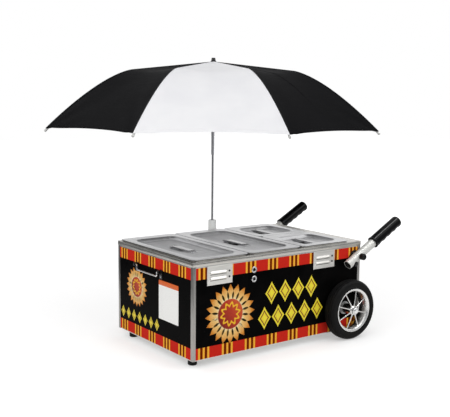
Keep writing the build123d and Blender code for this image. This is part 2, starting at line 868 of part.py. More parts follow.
# Handle brackets: a plate with a stop stud on the front and on the back wall
tilt = math.radians(handle_tilt)
tube_dir = (math.cos(tilt), 0, math.sin(tilt))
pivot_x = x_right - pivot_from_right
pivot_z = z_low + pivot_up
stop_x = pivot_x + stop_along * math.cos(tilt) - stop_below * math.sin(tilt)
stop_z = pivot_z + stop_along * math.sin(tilt) + stop_below * math.cos(tilt)
with BuildPart() as handle_brackets:
    for side, face, s in sides:
        with BuildSketch(Plane.XZ.offset(-face)):
            with Locations((pivot_x, pivot_z)):
                Circle(bracket_pivot_r)
            with Locations((stop_x, stop_z)):
                Circle(bracket_stop_r)
            make_hull()
        extrude(amount=s * bracket_t)
        with BuildSketch(Plane.XZ.offset(-face)):
            with Locations((stop_x, stop_z)):
                Circle(stop_r)
        extrude(amount=s * (tube_off + tube_r))
handle_brackets.part.label = "handle_brackets"
export_step(handle_brackets.part, "parts/handle_brackets.step")

# Handle bolts: pivot bolt with a collar between bracket and tube
tube_far = tube_off + tube_r
with BuildPart() as handle_bolts:
    for side, face, s in sides:
        with BuildSketch(Plane.XZ.offset(-(face - s * bracket_t))):
            with Locations((pivot_x, pivot_z)):
                Circle(bolt_r)
        extrude(amount=s * (tube_far + knob_bore - bracket_t))
        with BuildSketch(Plane.XZ.offset(-(face - s * bracket_t))):
            with Locations((pivot_x, pivot_z)):
                Circle(collar_r)
        extrude(amount=s * (tube_off - tube_r - bracket_t - air))
handle_bolts.part.label = "handle_bolts"
export_step(handle_bolts.part, "parts/handle_bolts.step")

# Handles: aluminium tube notched over the stop stud, black grip, clamp knob
notch_from = math.degrees(math.atan2(stop_below, stop_along)) % 360
notch_r = math.hypot(stop_along, stop_below)
tube_len = tube_back_len + tube_out_len + grip_long - grip_end
grip_far = tube_out_len + grip_long - grip_end
finger_at = (tube_out_len + grip_collar_long + grip_far - (finger_count - 1) * finger_pitch) / 2
finger_below = grip_r + finger_r - finger_deep
for side, face, s in sides:
    tube_y = face - s * tube_off
    tube_low = (pivot_x - tube_back_len * tube_dir[0], tube_y, pivot_z - tube_back_len * tube_dir[2])
    grip_low = (pivot_x + tube_out_len * tube_dir[0], tube_y, pivot_z + tube_out_len * tube_dir[2])
    along = Plane(origin=(pivot_x, tube_y, pivot_z), x_dir=tube_dir, z_dir=(0, -1, 0))
    tube_plane = Plane(origin=tube_low, x_dir=(0, 1, 0), z_dir=tube_dir)
    grip_plane = Plane(origin=grip_low, x_dir=(0, 1, 0), z_dir=tube_dir)
    with BuildPart() as tube:
        with BuildSketch(tube_plane):
            Circle(tube_r)
            Circle(tube_r - tube_wall, mode=Mode.SUBTRACT)
        extrude(amount=tube_len)
        with BuildSketch(along):
            Circle(bolt_r + fit)
        extrude(amount=2 * tube_r, both=True, mode=Mode.SUBTRACT)
        with BuildSketch(along):
            with BuildLine():
                CenterArc((0, 0), notch_r, notch_from, notch_sweep)
            trace(line_width=2 * (stop_r + notch_air))
            with Locations((stop_along, stop_below)):
                Circle(stop_r + notch_air)
        extrude(amount=2 * tube_r, both=True, mode=Mode.SUBTRACT)
    tube.part.label = "tube_" + side
    export_step(tube.part, "parts/tube_" + side + ".step")
    with BuildPart() as grip:
        with BuildSketch(grip_plane):
            Circle(grip_r)
        extrude(amount=grip_long)
        with BuildSketch(grip_plane):
            Circle(grip_r + grip_collar)
        extrude(amount=grip_collar_long)
        with BuildSketch(grip_plane):
            Circle(tube_r + seat)
        extrude(amount=grip_long - grip_end + seat, mode=Mode.SUBTRACT)
        with BuildSketch(along):
            with Locations([(finger_at + finger_pitch * i, -finger_below) for i in range(finger_count)]):
                Circle(finger_r)
        extrude(amount=2 * grip_r, both=True, mode=Mode.SUBTRACT)
    grip.part.label = "grip_" + side
    export_step(grip.part, "parts/grip_" + side + ".step")
    knob_y = face - s * (tube_far + air)
    with BuildPart() as knob:
        with BuildSketch(Plane.XZ.offset(-knob_y)):
            with Locations((pivot_x, pivot_z)):
                Circle(knob_r)
        extrude(amount=s * (knob_long - knob_edge))
        with BuildSketch(Plane.XZ.offset(-(knob_y - s * (knob_long - knob_edge)))):
            with Locations((pivot_x, pivot_z)):
                Circle(knob_r)
        with BuildSketch(Plane.XZ.offset(-(knob_y - s * knob_long))):
            with Locations((pivot_x, pivot_z)):
                Circle(knob_r - knob_edge)
        loft()
        with BuildSketch(Plane.XZ.offset(-knob_y)):
            with Locations((pivot_x, pivot_z)):
                with PolarLocations(knob_r + flute_r / 2, knob_flutes):
                    Circle(flute_r)
        extrude(amount=s * knob_long, mode=Mode.SUBTRACT)
        with BuildSketch(Plane.XZ.offset(-knob_y)):
            with Locations((pivot_x, pivot_z)):
                Circle(bolt_r + fit)
        extrude(amount=s * knob_bore, mode=Mode.SUBTRACT)
    knob.part.label = "knob_" + side
    export_step(knob.part, "parts/knob_" + side + ".step")

# Bail lugs: two small plates with eyes on the left end
bail_x = x_left - bail_off
bail_y = y_mid + bail_from_mid
bail_z = z_low + bail_up
eye_y = bail_wide / 2 + eye_t / 2
eye_ys = (bail_y - eye_y, bail_y + eye_y)
lug_z = bail_z + eye_r + over - lug_high / 2
with BuildPart() as bail_lugs:
    with BuildSketch(Plane.YZ.offset(x_left)):
        with Locations([(ey, lug_z) for ey in eye_ys]):
            RectangleRounded(lug_wide, lug_high, bail_rod)
    extrude(amount=-plate_t)
    for ey in eye_ys:
        with BuildSketch(Plane.XZ.offset(-ey)):
            with Locations((bail_x, bail_z)):
                Circle(eye_r)
            with Locations((x_left - bail_off / 2, bail_z)):
                Rectangle(bail_off, 2 * eye_r)
            with Locations((bail_x, bail_z)):
                Circle(bail_rod + fit, mode=Mode.SUBTRACT)
        extrude(amount=eye_t / 2, both=True)
bail_lugs.part.label = "bail_lugs"
export_step(bail_lugs.part, "parts/bail_lugs.step")

# Bail: bent wire hanging from the eyes
bail_half = bail_wide / 2 - bail_bend - bail_rod
with BuildPart() as bail:
    with BuildLine(Plane.YZ.offset(bail_x)) as bail_line:
        FilletPolyline(
            (bail_y - eye_y - eye_t / 2, bail_z),
            (bail_y - bail_half, bail_z),
            (bail_y - bail_half, bail_z - bail_drop),
            (bail_y + bail_half, bail_z - bail_drop),
            (bail_y + bail_half, bail_z),
            (bail_y + eye_y + eye_t / 2, bail_z),
            radius=bail_bend,
        )
    with BuildSketch(Plane(bail_line.line @ 0, z_dir=bail_line.line % 0)):
        Circle(bail_rod)
    sweep()
bail.part.label = "bail"
export_step(bail.part, "parts/bail.step")

# Umbrella socket: thick plastic sleeve behind the back wall
pole_z = deck_z - pole_deep
socket_z = pole_z - socket_floor
socket_top = deck_z + socket_up
with BuildPart() as umbrella_socket:
    with BuildSketch(Plane.XY.offset(socket_z)):
        Circle(socket_r)
    extrude(amount=socket_top - socket_z)
    with BuildSketch(Plane.XY.offset(pole_z)):
        Circle(pole_r + seat)
    extrude(amount=socket_top - pole_z, mode=Mode.SUBTRACT)
umbrella_socket.part.label = "umbrella_socket"
export_step(umbrella_socket.part, "parts/umbrella_socket.step")

# Socket bracket: plate on the back wall with two clamp rings
ring_zs = (socket_z + ring_over_floor, z_top - ring_under_top)
with BuildPart() as socket_bracket:
    with BuildSketch(Plane.XZ.offset(-y_back)):
        with Locations((0, (ring_zs[0] + ring_zs[1] + ring_high) / 2)):
            Rectangle(bracket_wide, ring_zs[1] - ring_zs[0] + 3 * ring_high)
    extrude(amount=-plate_t)
    for rz in ring_zs:
        with BuildSketch(Plane.XY.offset(rz)):
            Circle(socket_r + ring_t)
            with Locations((0, (y_back - socket_r) / 2)):
                Rectangle(neck_wide, -socket_r - y_back)
            Circle(socket_r + seat, mode=Mode.SUBTRACT)
        extrude(amount=ring_high)
socket_bracket.part.label = "socket_bracket"
export_step(socket_bracket.part, "parts/socket_bracket.step")

# Screws: plate screws and the two round studs of the front panel
with BuildPart() as screws:
    with BuildSketch(Plane.XZ.offset(-vent_face)):
        with Locations([(vx + vent_wide / 2 - 2 * louvre_shift, lz) for vx in vent_xs for lz in louvre_zs]):
            Circle(screw_r)
    extrude(amount=screw_high)
    with BuildSketch(Plane.XZ.offset(-y_front)):
        with Locations([(x_left + stud_from_left, vent_z - d) for d in (0, stud_pitch)]):
            Circle(stud_head_r)
            Circle(stud_hole_r, mode=Mode.SUBTRACT)
    extrude(amount=stud_head_high)
    for side, face, s in sides:
        with BuildSketch(Plane.XZ.offset(-(face - s * bracket_t))):
            with Locations([(pivot_x + d * tube_dir[0], pivot_z + d * tube_dir[2]) for d in bracket_screws]):
                Circle(screw_r)
        extrude(amount=s * screw_high)
    with BuildSketch(Plane.XZ.offset(-(y_back + plate_t))):
        with Locations([(sx * (bracket_wide / 2 - screw_edge), rz) for sx in (-1, 1) for rz in ring_zs]):
            Circle(screw_r)
    extrude(amount=-screw_high)
    with BuildSketch(Plane.YZ.offset(panel_x)):
        with Locations((y_mid, panel_z)):
            with GridLocations(panel_wide - 2 * screw_edge, panel_high - 2 * screw_edge, 2, 2):
                Circle(screw_r)
    extrude(amount=screw_high)
    with BuildSketch(Plane.YZ.offset(x_left - plate_t)):
        with Locations([(ey, bail_z - lug_screw_drop) for ey in eye_ys]):
            Circle(screw_r)
    extrude(amount=-screw_high)
screws.part.label = "screws"
export_step(screws.part, "parts/screws.step")

# Pole: steel rod from the socket floor up into the finial
canopy_top = deck_z + canopy_up
with BuildPart() as pole:
    with BuildSketch(Plane.XY.offset(pole_z)):
        Circle(pole_r)
    extrude(amount=canopy_top + finial_high / 2 - pole_z)
pole.part.label = "pole"
export_step(pole.part, "parts/pole.step")

# Rib planes: local x runs outward from the pole, local y upward
rib_planes = []
for k in range(gores):
    turn = math.radians(rib_turn + 360 / gores * k)
    out = (math.cos(turn), math.sin(turn), 0)
    rib_planes.append(Plane(origin=(0, 0, 0), x_dir=out, z_dir=(out[1], -out[0], 0)))

# Crown: slotted disc on the pole that carries the rib pins
crown_pin_z = canopy_top - crown_pin_drop
crown_r = crown_pin_r + crown_edge
slot_r = pole_r + slot_floor
with BuildPart() as crown:
    with BuildSketch(Plane.XY.offset(crown_pin_z - crown_high / 2)):
        Circle(crown_r)
        Circle(pole_r + seat, mode=Mode.SUBTRACT)
    extrude(amount=crown_high)
    for pl in rib_planes:
        with BuildSketch(pl):
            with Locations(((slot_r + crown_r + over) / 2, crown_pin_z)):
                Rectangle(crown_r + over - slot_r, crown_high + 2 * over)
        extrude(amount=rib_wide / 2 + air, both=True, mode=Mode.SUBTRACT)
    for pl in rib_planes:
        with BuildSketch(pl):
            with Locations((crown_pin_r, crown_pin_z)):
                Circle(pin_r)
        extrude(amount=rib_wide / 2 + air + over, both=True)
crown.part.label = "crown"
export_step(crown.part, "parts/crown.step")

# Finial: black cap on top of the canopy
finial_z = canopy_top + air
with BuildPart() as finial:
    with BuildSketch(Plane.XY.offset(finial_z)):
        Circle(finial_base_r)
    extrude(amount=finial_base)
    with BuildSketch(Plane.XY.offset(finial_z + finial_base)):
        Circle(finial_r)
    with BuildSketch(Plane.XY.offset(finial_z + finial_base + finial_high)):
        Circle(finial_tip_r)
    loft()
    with BuildSketch(Plane.XY.offset(finial_z)):
        Circle(pole_r + seat)
    extrude(amount=finial_high / 2, mode=Mode.SUBTRACT)
finial.part.label = "finial"
export_step(finial.part, "parts/finial.step")

# Runner: sleeve on the pole with a slotted flange for the stretchers
runner_pin_z = canopy_top - runner_drop
runner_top = runner_pin_z + runner_flange / 2
runner_z = runner_top - runner_long
runner_r = pole_r + seat + runner_wall
flange_r = runner_pin_r + crown_edge
slot_mid = rib_wide / 2 + air + stretch_wide / 2
with BuildPart() as runner:
    with BuildSketch(Plane.XY.offset(runner_z)):
        Circle(runner_r)
    extrude(amount=runner_long)
    with BuildSketch(Plane.XY.offset(runner_top - runner_flange)):
        Circle(flange_r)
    extrude(amount=runner_flange)
    with BuildSketch(Plane.XY.offset(runner_z)):
        Circle(pole_r + seat)
    extrude(amount=runner_long, mode=Mode.SUBTRACT)
    for pl in rib_planes:
        with BuildSketch(pl.offset(slot_mid)):
            with Locations(((slot_r + flange_r + over) / 2, runner_pin_z)):
                Rectangle(flange_r + over - slot_r, runner_flange + 2 * over)
        extrude(amount=stretch_wide / 2 + air, both=True, mode=Mode.SUBTRACT)
    for pl in rib_planes:
        with BuildSketch(pl.offset(slot_mid)):
            with Locations((runner_pin_r, runner_pin_z)):
                Circle(pin_r)
        extrude(amount=stretch_wide / 2 + air + over, both=True)
runner.part.label = "runner"
export_step(runner.part, "parts/runner.step")

# Canopy line over a rib: flat crown to the shoulder, then a skirt that steepens to the hem
profile = [(peak_r, canopy_top), (shoulder_r, canopy_top - shoulder_drop)]
for i in range(1, skirt_steps + 1):
    part_way = i / skirt_steps
    skirt_r = shoulder_r + (canopy_r - shoulder_r) * part_way
    part_drop = skirt_lean * part_way + (1 - skirt_lean) * part_way**skirt_bend
    profile.append((skirt_r, canopy_top - shoulder_drop - skirt_drop * part_drop))

# Rib line: the canopy line set back along its normal, straight to the crown pin
rib_back = rib_under + rib_high / 2
rib_line = [(crown_pin_r, crown_pin_z)]
for i in range(1, len(profile)):
    r0, z0 = profile[i - 1]
    r1, z1 = profile[min(i + 1, len(profile) - 1)]
    size = math.hypot(r1 - r0, z0 - z1)
    set_r = rib_back * (z0 - z1) / size
    set_z = rib_back * (r1 - r0) / size
    rib_line.append((profile[i][0] - set_r, profile[i][1] - set_z))
(r0, z0), (r1, z1) = rib_line[-2:]
reach = 1 + rib_past_hem / math.hypot(r1 - r0, z1 - z0)
rib_line[-1] = (r0 + (r1 - r0) * reach, z0 + (z1 - z0) * reach)


# Outline of a bar of the given height along a line of points
def bar_outline(line, height):
    upper = []
    lower = []
    for i, (r, z) in enumerate(line):
        ra, za = line[max(i - 1, 0)]
        rb, zb = line[min(i + 1, len(line) - 1)]
        half = height / 2 / math.hypot(rb - ra, zb - za)
        upper.append((r - (zb - za) * half, z + (rb - ra) * half))
        lower.append((r + (zb - za) * half, z - (rb - ra) * half))
    return upper + lower[::-1]


# Ribs: bent spring-steel bars with an eye on the crown pin and a cap at the tip
for k, pl in enumerate(rib_planes):
    with BuildPart() as rib:
        with BuildSketch(pl):
            with BuildLine():
                Polyline(*bar_outline(rib_line, rib_high), close=True)
            make_face()
            with Locations((crown_pin_r, crown_pin_z)):
                Circle(rib_eye)
            with Locations((crown_pin_r, crown_pin_z)):
                Circle(pin_r + fit, mode=Mode.SUBTRACT)
            with Locations(rib_line[-1]):
                Circle(rib_cap_r)
        extrude(amount=rib_wide / 2, both=True)
    rib.part.label = "rib_" + str(k + 1)
    export_step(rib.part, "parts/rib_" + str(k + 1) + ".step")

# Stretchers: flat bars from the runner up to the side of each rib, lapped on its straight part
(r0, z0), (r1, z1) = rib_line[:2]
stretch_at_z = z0 + (z1 - z0) * (stretch_at_r - r0) / (r1 - r0)
stretch_line = [(runner_pin_r, runner_pin_z), (stretch_at_r, stretch_at_z)]
for k, pl in enumerate(rib_planes):
    with BuildPart() as stretcher:
        with BuildSketch(pl.offset(slot_mid)):
            with BuildLine():
                Polyline(*bar_outline(stretch_line, rib_high), close=True)
            make_face()
            with Locations(stretch_line):
                Circle(rib_eye)
            with Locations((runner_pin_r, runner_pin_z)):
                Circle(pin_r + fit, mode=Mode.SUBTRACT)
        extrude(amount=stretch_wide / 2, both=True)
    stretcher.part.label = "stretcher_" + str(k + 1)
    export_step(stretcher.part, "parts/stretcher_" + str(k + 1) + ".step")

# Canopy: flat-sided cloth gores over the ribs, open below and at the pole
with BuildPart() as canopy:
    for r, z in profile[::-1]:
        with BuildSketch(Plane.XY.offset(z)):
            RegularPolygon(r, gores, rotation=rib_turn)
    loft(ruled=True)
    for r, z in profile[::-1]:
        with BuildSketch(Plane.XY.offset(z - canopy_t)):
            RegularPolygon(r - canopy_t / 3, gores, rotation=rib_turn)
    loft(ruled=True, mode=Mode.SUBTRACT)
    with BuildSketch(Plane.XY.offset(canopy_top - 4 * canopy_t)):
        Circle(pole_r + air)
    extrude(amount=8 * canopy_t, mode=Mode.SUBTRACT)
canopy.part.label = "canopy"
export_step(canopy.part, "parts/canopy.step")

print("rib pin", crown_pin_r, crown_pin_z, "runner pin", runner_pin_r, runner_pin_z)
print("stretcher end", stretch_at_r, stretch_at_z, "rib tip", rib_line[-1])
print("lids", lid_xs, half_ys, "pan", pan_wide, pan_inset, "lid top", lid_top)
print("pivot", pivot_x, pivot_z, "stop", stop_x, stop_z, "wheel", wheel_x, axle_z)
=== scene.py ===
import math

import bmesh
import bpy
from mathutils import Euler, Matrix, Vector


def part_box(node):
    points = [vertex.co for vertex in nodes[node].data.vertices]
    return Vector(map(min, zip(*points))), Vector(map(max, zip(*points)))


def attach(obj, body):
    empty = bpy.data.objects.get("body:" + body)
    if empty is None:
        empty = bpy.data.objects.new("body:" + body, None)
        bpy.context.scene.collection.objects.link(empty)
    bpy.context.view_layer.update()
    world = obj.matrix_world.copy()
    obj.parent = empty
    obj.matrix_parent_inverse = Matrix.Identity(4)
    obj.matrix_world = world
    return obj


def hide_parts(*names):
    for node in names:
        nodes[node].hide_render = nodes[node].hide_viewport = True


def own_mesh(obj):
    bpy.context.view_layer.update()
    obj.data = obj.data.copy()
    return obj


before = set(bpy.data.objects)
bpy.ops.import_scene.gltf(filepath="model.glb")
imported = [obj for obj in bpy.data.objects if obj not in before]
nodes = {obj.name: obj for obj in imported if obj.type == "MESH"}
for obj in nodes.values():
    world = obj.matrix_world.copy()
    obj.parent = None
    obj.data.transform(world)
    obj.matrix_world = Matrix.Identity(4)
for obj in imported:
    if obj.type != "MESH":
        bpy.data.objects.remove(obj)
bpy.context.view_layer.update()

bl_info = {
    "name": "Steamer Cart Dressing",
    "version": (1, 1, 0),
    "blender": (4, 5, 0),
    "location": "View3D > Sidebar > Cart",
    "description": "Dresses the packed steamer cart: cloth, print, lids, wheels, grips, screws, finishes",
    "category": "Object",
}

MM = 0.001
GORES = 8
RIB_TURN = math.radians(31.8)
GORE_TURN = 2 * math.pi / GORES
# Length of the cloth along a rib and radius of its hem
CLOTH_LONG = 0.66
HEM_R = 0.602
# Slope of the push handles and place of their pivots
HANDLE_TILT = math.radians(29.2)
HANDLE_X = 0.2605
HANDLE_Z = 0.280
# Depth of the lids' sunk middle under their top
LID_DEPTH = 0.011
# Heights of the louvres over the middle of a vent plate, and how far they sit left of it
LOUVRES = (-0.009, 0.009)
LOUVRE_LEFT = 0.006
# Thickness of printed film
FILM = 0.00016
FULL_SIZE = (1, 1, 1)
UP = (0, 0, 1)
MATH = "ShaderNodeMath"
MIX = "ShaderNodeMix"
NOISE = "ShaderNodeTexNoise"
BUMP = "ShaderNodeBump"
RAMP = "ShaderNodeValToRGB"
SPREAD = "ShaderNodeMapRange"


def centre_of(name):
    """Middle of the box round a built node"""
    return [(low + high) / 2 for low, high in zip(*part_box(name))]


# Places of the imported cart, read from its nodes
cab_low, cab_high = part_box("cabinet")
finial_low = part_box("finial")[0]
wheel_x, wheel_z = centre_of("tyre_front")[::2]
SIDES = (("front", cab_low[1], 1), ("back", cab_high[1], -1))


def linear(code):
    """An sRGB hex colour as linear red, green, blue and alpha"""
    parts = [int(code[i : i + 2], 16) / 255 for i in (1, 3, 5)]
    return tuple(p / 12.92 if p <= 0.04045 else ((p + 0.055) / 1.055) ** 2.4 for p in parts) + (1.0,)


def per(mm):
    """Texture scale of a pattern whose repeat is this many millimetres"""
    return 1 / (mm * MM)


def smooth(t):
    """Eases a share from 0 to 1"""
    t = min(1.0, max(0.0, t))
    return t * t * (3 - 2 * t)


def circle(steps):
    """Angles of a full turn in equal steps"""
    return [2 * math.pi * i / steps for i in range(steps)]


def add(tree, kind, inputs=None, out=0, stops=None, **settings):
    """Adds a node with its settings, fills or links its inputs and gives back one output, or the node"""
    made = tree.nodes.new(kind)
    for key, value in settings.items():
        setattr(made, key, value)
    for key, value in (inputs or {}).items():
        if isinstance(value, bpy.types.NodeSocket):
            tree.links.new(value, made.inputs[key])
        else:
            made.inputs[key].default_value = value
    if stops:
        while len(made.color_ramp.elements) < len(stops):
            made.color_ramp.elements.new(1.0)
        for element, (place, code) in zip(made.color_ramp.elements, stops):
            element.position = place
            element.color = linear(code)
    return made if out is None else made.outputs[out]


def start(name, colour, metal=0.0, rough=0.5, **sockets):
    """A material with its Principled shader set: returns material, tree, shader and Object coordinates"""
    mat = bpy.data.materials.new(name)
    mat.use_nodes = True
    tree = mat.node_tree
    shader = tree.nodes["Principled BSDF"]
    shader.inputs["Base Color"].default_value = linear(colour)
    shader.inputs["Metallic"].default_value = metal
    shader.inputs["Roughness"].default_value = rough
    for key, value in sockets.items():
        shader.inputs[key.replace("_", " ")].default_value = value
    return mat, tree, shader, add(tree, "ShaderNodeTexCoord", out="Object")


def wire(tree, shader, **sockets):
    """Links finished values to the shader"""
    for key, value in sockets.items():
        tree.links.new(value, shader.inputs[key.replace("_", " ")])


# Stainless sheet, belt brushed: soft streaks along the sheet and a satin glare.
# Real brush lines are about 0.1 mm wide and are drawn at 1.4 mm so that they show.
def brushed_stainless(name, grain, dark, light, rough):
    mat, tree, shader, place = start("Stainless steel, belt brushed, " + name, light, 1.0, rough)
    scale = [per(110) if step else per(1.4) for step in grain]
    lines = add(tree, "ShaderNodeMapping", {"Vector": place, "Scale": scale})
    streak = add(tree, NOISE, {"Vector": lines, "Scale": 1.0, "Detail": 4.0})
    smudge = add(tree, NOISE, {"Vector": place, "Scale": per(95), "Detail": 3.0})
    part = add(tree, MATH, {0: smudge, 1: 0.35}, operation="MULTIPLY")
    mixed = add(tree, MATH, {0: streak, 1: 0.65, 2: part}, operation="MULTIPLY_ADD")
    wire(
        tree,
        shader,
        Base_Color=add(tree, RAMP, {"Fac": mixed}, stops=[(0.3, dark), (0.7, light)]),
        Roughness=add(tree, SPREAD, {0: mixed, 1: 0.3, 2: 0.7, 3: rough - 0.07, 4: rough + 0.12}),
        Normal=add(tree, BUMP, {"Height": streak, "Strength": 0.05, "Distance": 0.0004}),
    )
    return mat


# Plated, cast or drawn metal: even gloss with a light smudge
def plain_metal(name, colour, rough, patch=40.0):
    mat, tree, shader, place = start(name, colour, 1.0, rough)
    smudge = add(tree, NOISE, {"Vector": place, "Scale": per(patch), "Detail": 4.0})
    gloss = add(tree, SPREAD, {0: smudge, 1: 0.3, 2: 0.7, 3: rough * 0.75, 4: rough * 1.4})
    wire(tree, shader, Roughness=gloss)
    return mat


# Moulded rubber or plastic: fine grain in the skin and a little dust in soft patches
def moulded(name, colour, dust, rough, grain=1.2, bump=0.15, **sockets):
    mat, tree, shader, place = start(name, colour, 0.0, rough, **sockets)
    skin = add(tree, NOISE, {"Vector": place, "Scale": per(grain), "Detail": 3.0})
    cloud = add(tree, NOISE, {"Vector": place, "Scale": per(38), "Detail": 4.0})
    wire(
        tree,
        shader,
        Base_Color=add(tree, RAMP, {"Fac": cloud}, stops=[(0.4, colour), (0.75, dust)]),
        Roughness=add(tree, SPREAD, {0: cloud, 1: 0.3, 2: 0.7, 3: rough - 0.05, 4: rough + 0.08}),
        Normal=add(tree, BUMP, {"Height": skin, "Strength": bump, "Distance": 0.0003}),
    )
    return mat


# Sprayed lacquer or enamel on steel: faint orange peel
def lacquered(name, colour, rough, **sockets):
    mat, tree, shader, place = start(name, colour, 0.0, rough, **sockets)
    peel = add(tree, NOISE, {"Vector": place, "Scale": per(2.5), "Detail": 2.0})
    wire(
        tree,
        shader,
        Roughness=add(tree, SPREAD, {0: peel, 1: 0.3, 2: 0.7, 3: rough - 0.05, 4: rough + 0.08}),
        Normal=add(tree, BUMP, {"Height": peel, "Strength": 0.05, "Distance": 0.0004}),
    )
    return mat


# Coated taffeta, plain weave: matt cloth with faint folding creases across each gore.
# The UV map holds metres from the rib seam and from the hem.
# Real threads lie about 0.3 mm apart and are drawn at 1.5 mm so that the weave shows.
def taffeta(name, colour, shade):
    mat, tree, shader, place = start("Coated taffeta, woven, " + name, colour, 0.0, 0.62, IOR=1.08)
    threads = 2 * math.pi * per(1.5)
    spot = add(tree, "ShaderNodeUVMap", uv_map="cloth")
    split = add(tree, "ShaderNodeSeparateXYZ", {0: spot}, out=None)
    waves = []
    for axis in (0, 1):
        turns = add(tree, MATH, {0: split.outputs[axis], 1: threads}, operation="MULTIPLY")
        waves.append(add(tree, MATH, {0: turns}, operation="SINE"))
    weave = add(tree, MATH, {0: waves[0], 1: waves[1]}, operation="MULTIPLY")
    cloud = add(tree, NOISE, {"Vector": place, "Scale": per(140), "Detail": 3.0})
    flat = add(tree, "ShaderNodeMapping", {"Vector": spot, "Scale": (per(160), per(26), 1.0)})
    crease = add(tree, NOISE, {"Vector": flat, "Scale": 1.0, "Detail": 3.0, "Roughness": 0.4})
    fine = add(tree, BUMP, {"Height": weave, "Strength": 0.1, "Distance": 0.0003})
    wire(
        tree,
        shader,
        Base_Color=add(tree, RAMP, {"Fac": cloud}, stops=[(0.35, shade), (0.65, colour)]),
        Roughness=add(tree, SPREAD, {0: weave, 1: -1.0, 2: 1.0, 3: 0.56, 4: 0.7}),
        Normal=add(tree, BUMP, {"Height": crease, "Strength": 0.16, "Distance": 0.006, "Normal": fine}),
    )
    return mat


def outside(tree, value, low, high):
    """1 where a value lies under one limit or over another"""
    below = add(tree, MATH, {0: value, 1: low}, operation="LESS_THAN")
    above = add(tree, MATH, {0: value, 1: high}, operation="GREATER_THAN")
    return add(tree, MATH, {0: below, 1: above}, operation="MAXIMUM")


# Printed film on the cabinet: black ground, striped red bands above and below, bare steel at both edges
def printed_film(look):
    mat, tree, shader, place = start("Vinyl film, screen printed", "#121011", 0.0, 0.34, IOR=1.06)
    split = add(tree, "ShaderNodeSeparateXYZ", {0: place}, out=None)
    height = split.outputs[2]
    facing = add(tree, "ShaderNodeNewGeometry", out="Normal")
    across = add(tree, MATH, {0: add(tree, "ShaderNodeSeparateXYZ", {0: facing})}, operation="ABSOLUTE")
    on_end = add(tree, MATH, {0: across, 1: 0.5}, operation="GREATER_THAN")
    front = add(tree, MATH, {0: split.outputs[0], 1: look.front_start}, operation="SUBTRACT")
    side = add(tree, MATH, {0: split.outputs[1], 1: look.end_start}, operation="SUBTRACT")
    along = add(tree, MIX, {0: on_end, 2: front, 3: side}, data_type="FLOAT")
    step = add(tree, MATH, {0: along, 1: look.stripe_pitch}, operation="FLOORED_MODULO")
    line = add(tree, MATH, {0: step, 1: 5 / look.stripe_group}, operation="MULTIPLY")
    odd = add(tree, MATH, {0: line, 1: 2.0}, operation="FLOORED_MODULO")
    # Each light stripe is yellow in the middle and orange at its edges
    middle = add(tree, MATH, {0: odd, 1: 0.5}, operation="SUBTRACT")
    edge = add(tree, MATH, {0: middle}, operation="ABSOLUTE")
    gold = add(tree, RAMP, {"Fac": edge}, stops=[(0.12, look.yellow), (0.42, look.orange)])
    dark = add(tree, MATH, {0: odd, 1: 1.0}, operation="GREATER_THAN")
    group = add(tree, MIX, {0: dark, 6: gold, 7: linear(look.maroon)}, out=2, data_type="RGBA")
    in_group = add(tree, MATH, {0: line, 1: 5.0}, operation="LESS_THAN")
    band = add(tree, MIX, {0: in_group, 6: linear(look.red), 7: group}, out=2, data_type="RGBA")
    banded = outside(tree, height, look.low_band, look.high_band)
    cloud = add(tree, NOISE, {"Vector": place, "Scale": per(60), "Detail": 4.0})
    ground = add(tree, RAMP, {"Fac": cloud}, stops=[(0.35, "#050505"), (0.7, "#0a0909")])
    striped = add(tree, MIX, {0: banded, 6: ground, 7: band}, out=2, data_type="RGBA")
    bare = outside(tree, height, look.film_low, look.film_high)
    wire(
        tree,
        shader,
        Base_Color=add(tree, MIX, {0: bare, 6: striped, 7: linear("#c9c8c4")}, out=2, data_type="RGBA"),
        Metallic=bare,
        Roughness=add(tree, SPREAD, {0: cloud, 1: 0.3, 2: 0.7, 3: 0.26, 4: 0.4}),
    )
    return mat


# Screen ink: a tone runs over the printed shape from one colour to the next
def ink(name, stops):
    mat, tree, shader, place = start(
        "Vinyl ink, cut and printed, " + name, stops[0][1], 0.0, 0.36, Specular_IOR_Level=0.2
    )
    tone = add(tree, "ShaderNodeAttribute", out="Fac", attribute_name="tone")
    mottle = add(tree, NOISE, {"Vector": place, "Scale": per(9), "Detail": 2.0})
    shift = add(tree, MATH, {0: mottle, 1: 0.5}, operation="SUBTRACT")
    mixed = add(tree, MATH, {0: shift, 1: 0.08, 2: tone}, operation="MULTIPLY_ADD")
    wire(tree, shader, Base_Color=add(tree, RAMP, {"Fac": mixed}, stops=stops))
    return mat


def piece_from(name, bm, finishes, sharp=35.0):
    """A finished object at the origin from a bmesh, smooth except at sharp edges"""
    mesh = bpy.data.meshes.new(name)
    bm.to_mesh(mesh)
    bm.free()
    for finish in finishes:
        mesh.materials.append(finish)
    mesh.shade_smooth()
    mesh.set_sharp_from_angle(angle=math.radians(sharp))
    made = bpy.data.objects.new(name, mesh)
    bpy.context.scene.collection.objects.link(made)
    return made


def place_piece(piece, body, slot, *stands_for):
    """Lets a piece ride on a body and hides the nodes that it stands for; slot is not used"""
    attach(piece, body)
    if stands_for:
        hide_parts(*stands_for)


def face_outwards(bm):
    """Turns the outer side of every face outwards"""
    bmesh.ops.recalc_face_normals(bm, faces=bm.faces)


def cut_level(bm, z):
    """Cuts all faces at one height"""
    whole = bm.verts[:] + bm.edges[:] + bm.faces[:]
    bmesh.ops.bisect_plane(bm, geom=whole, plane_co=(0, 0, z), plane_no=UP)


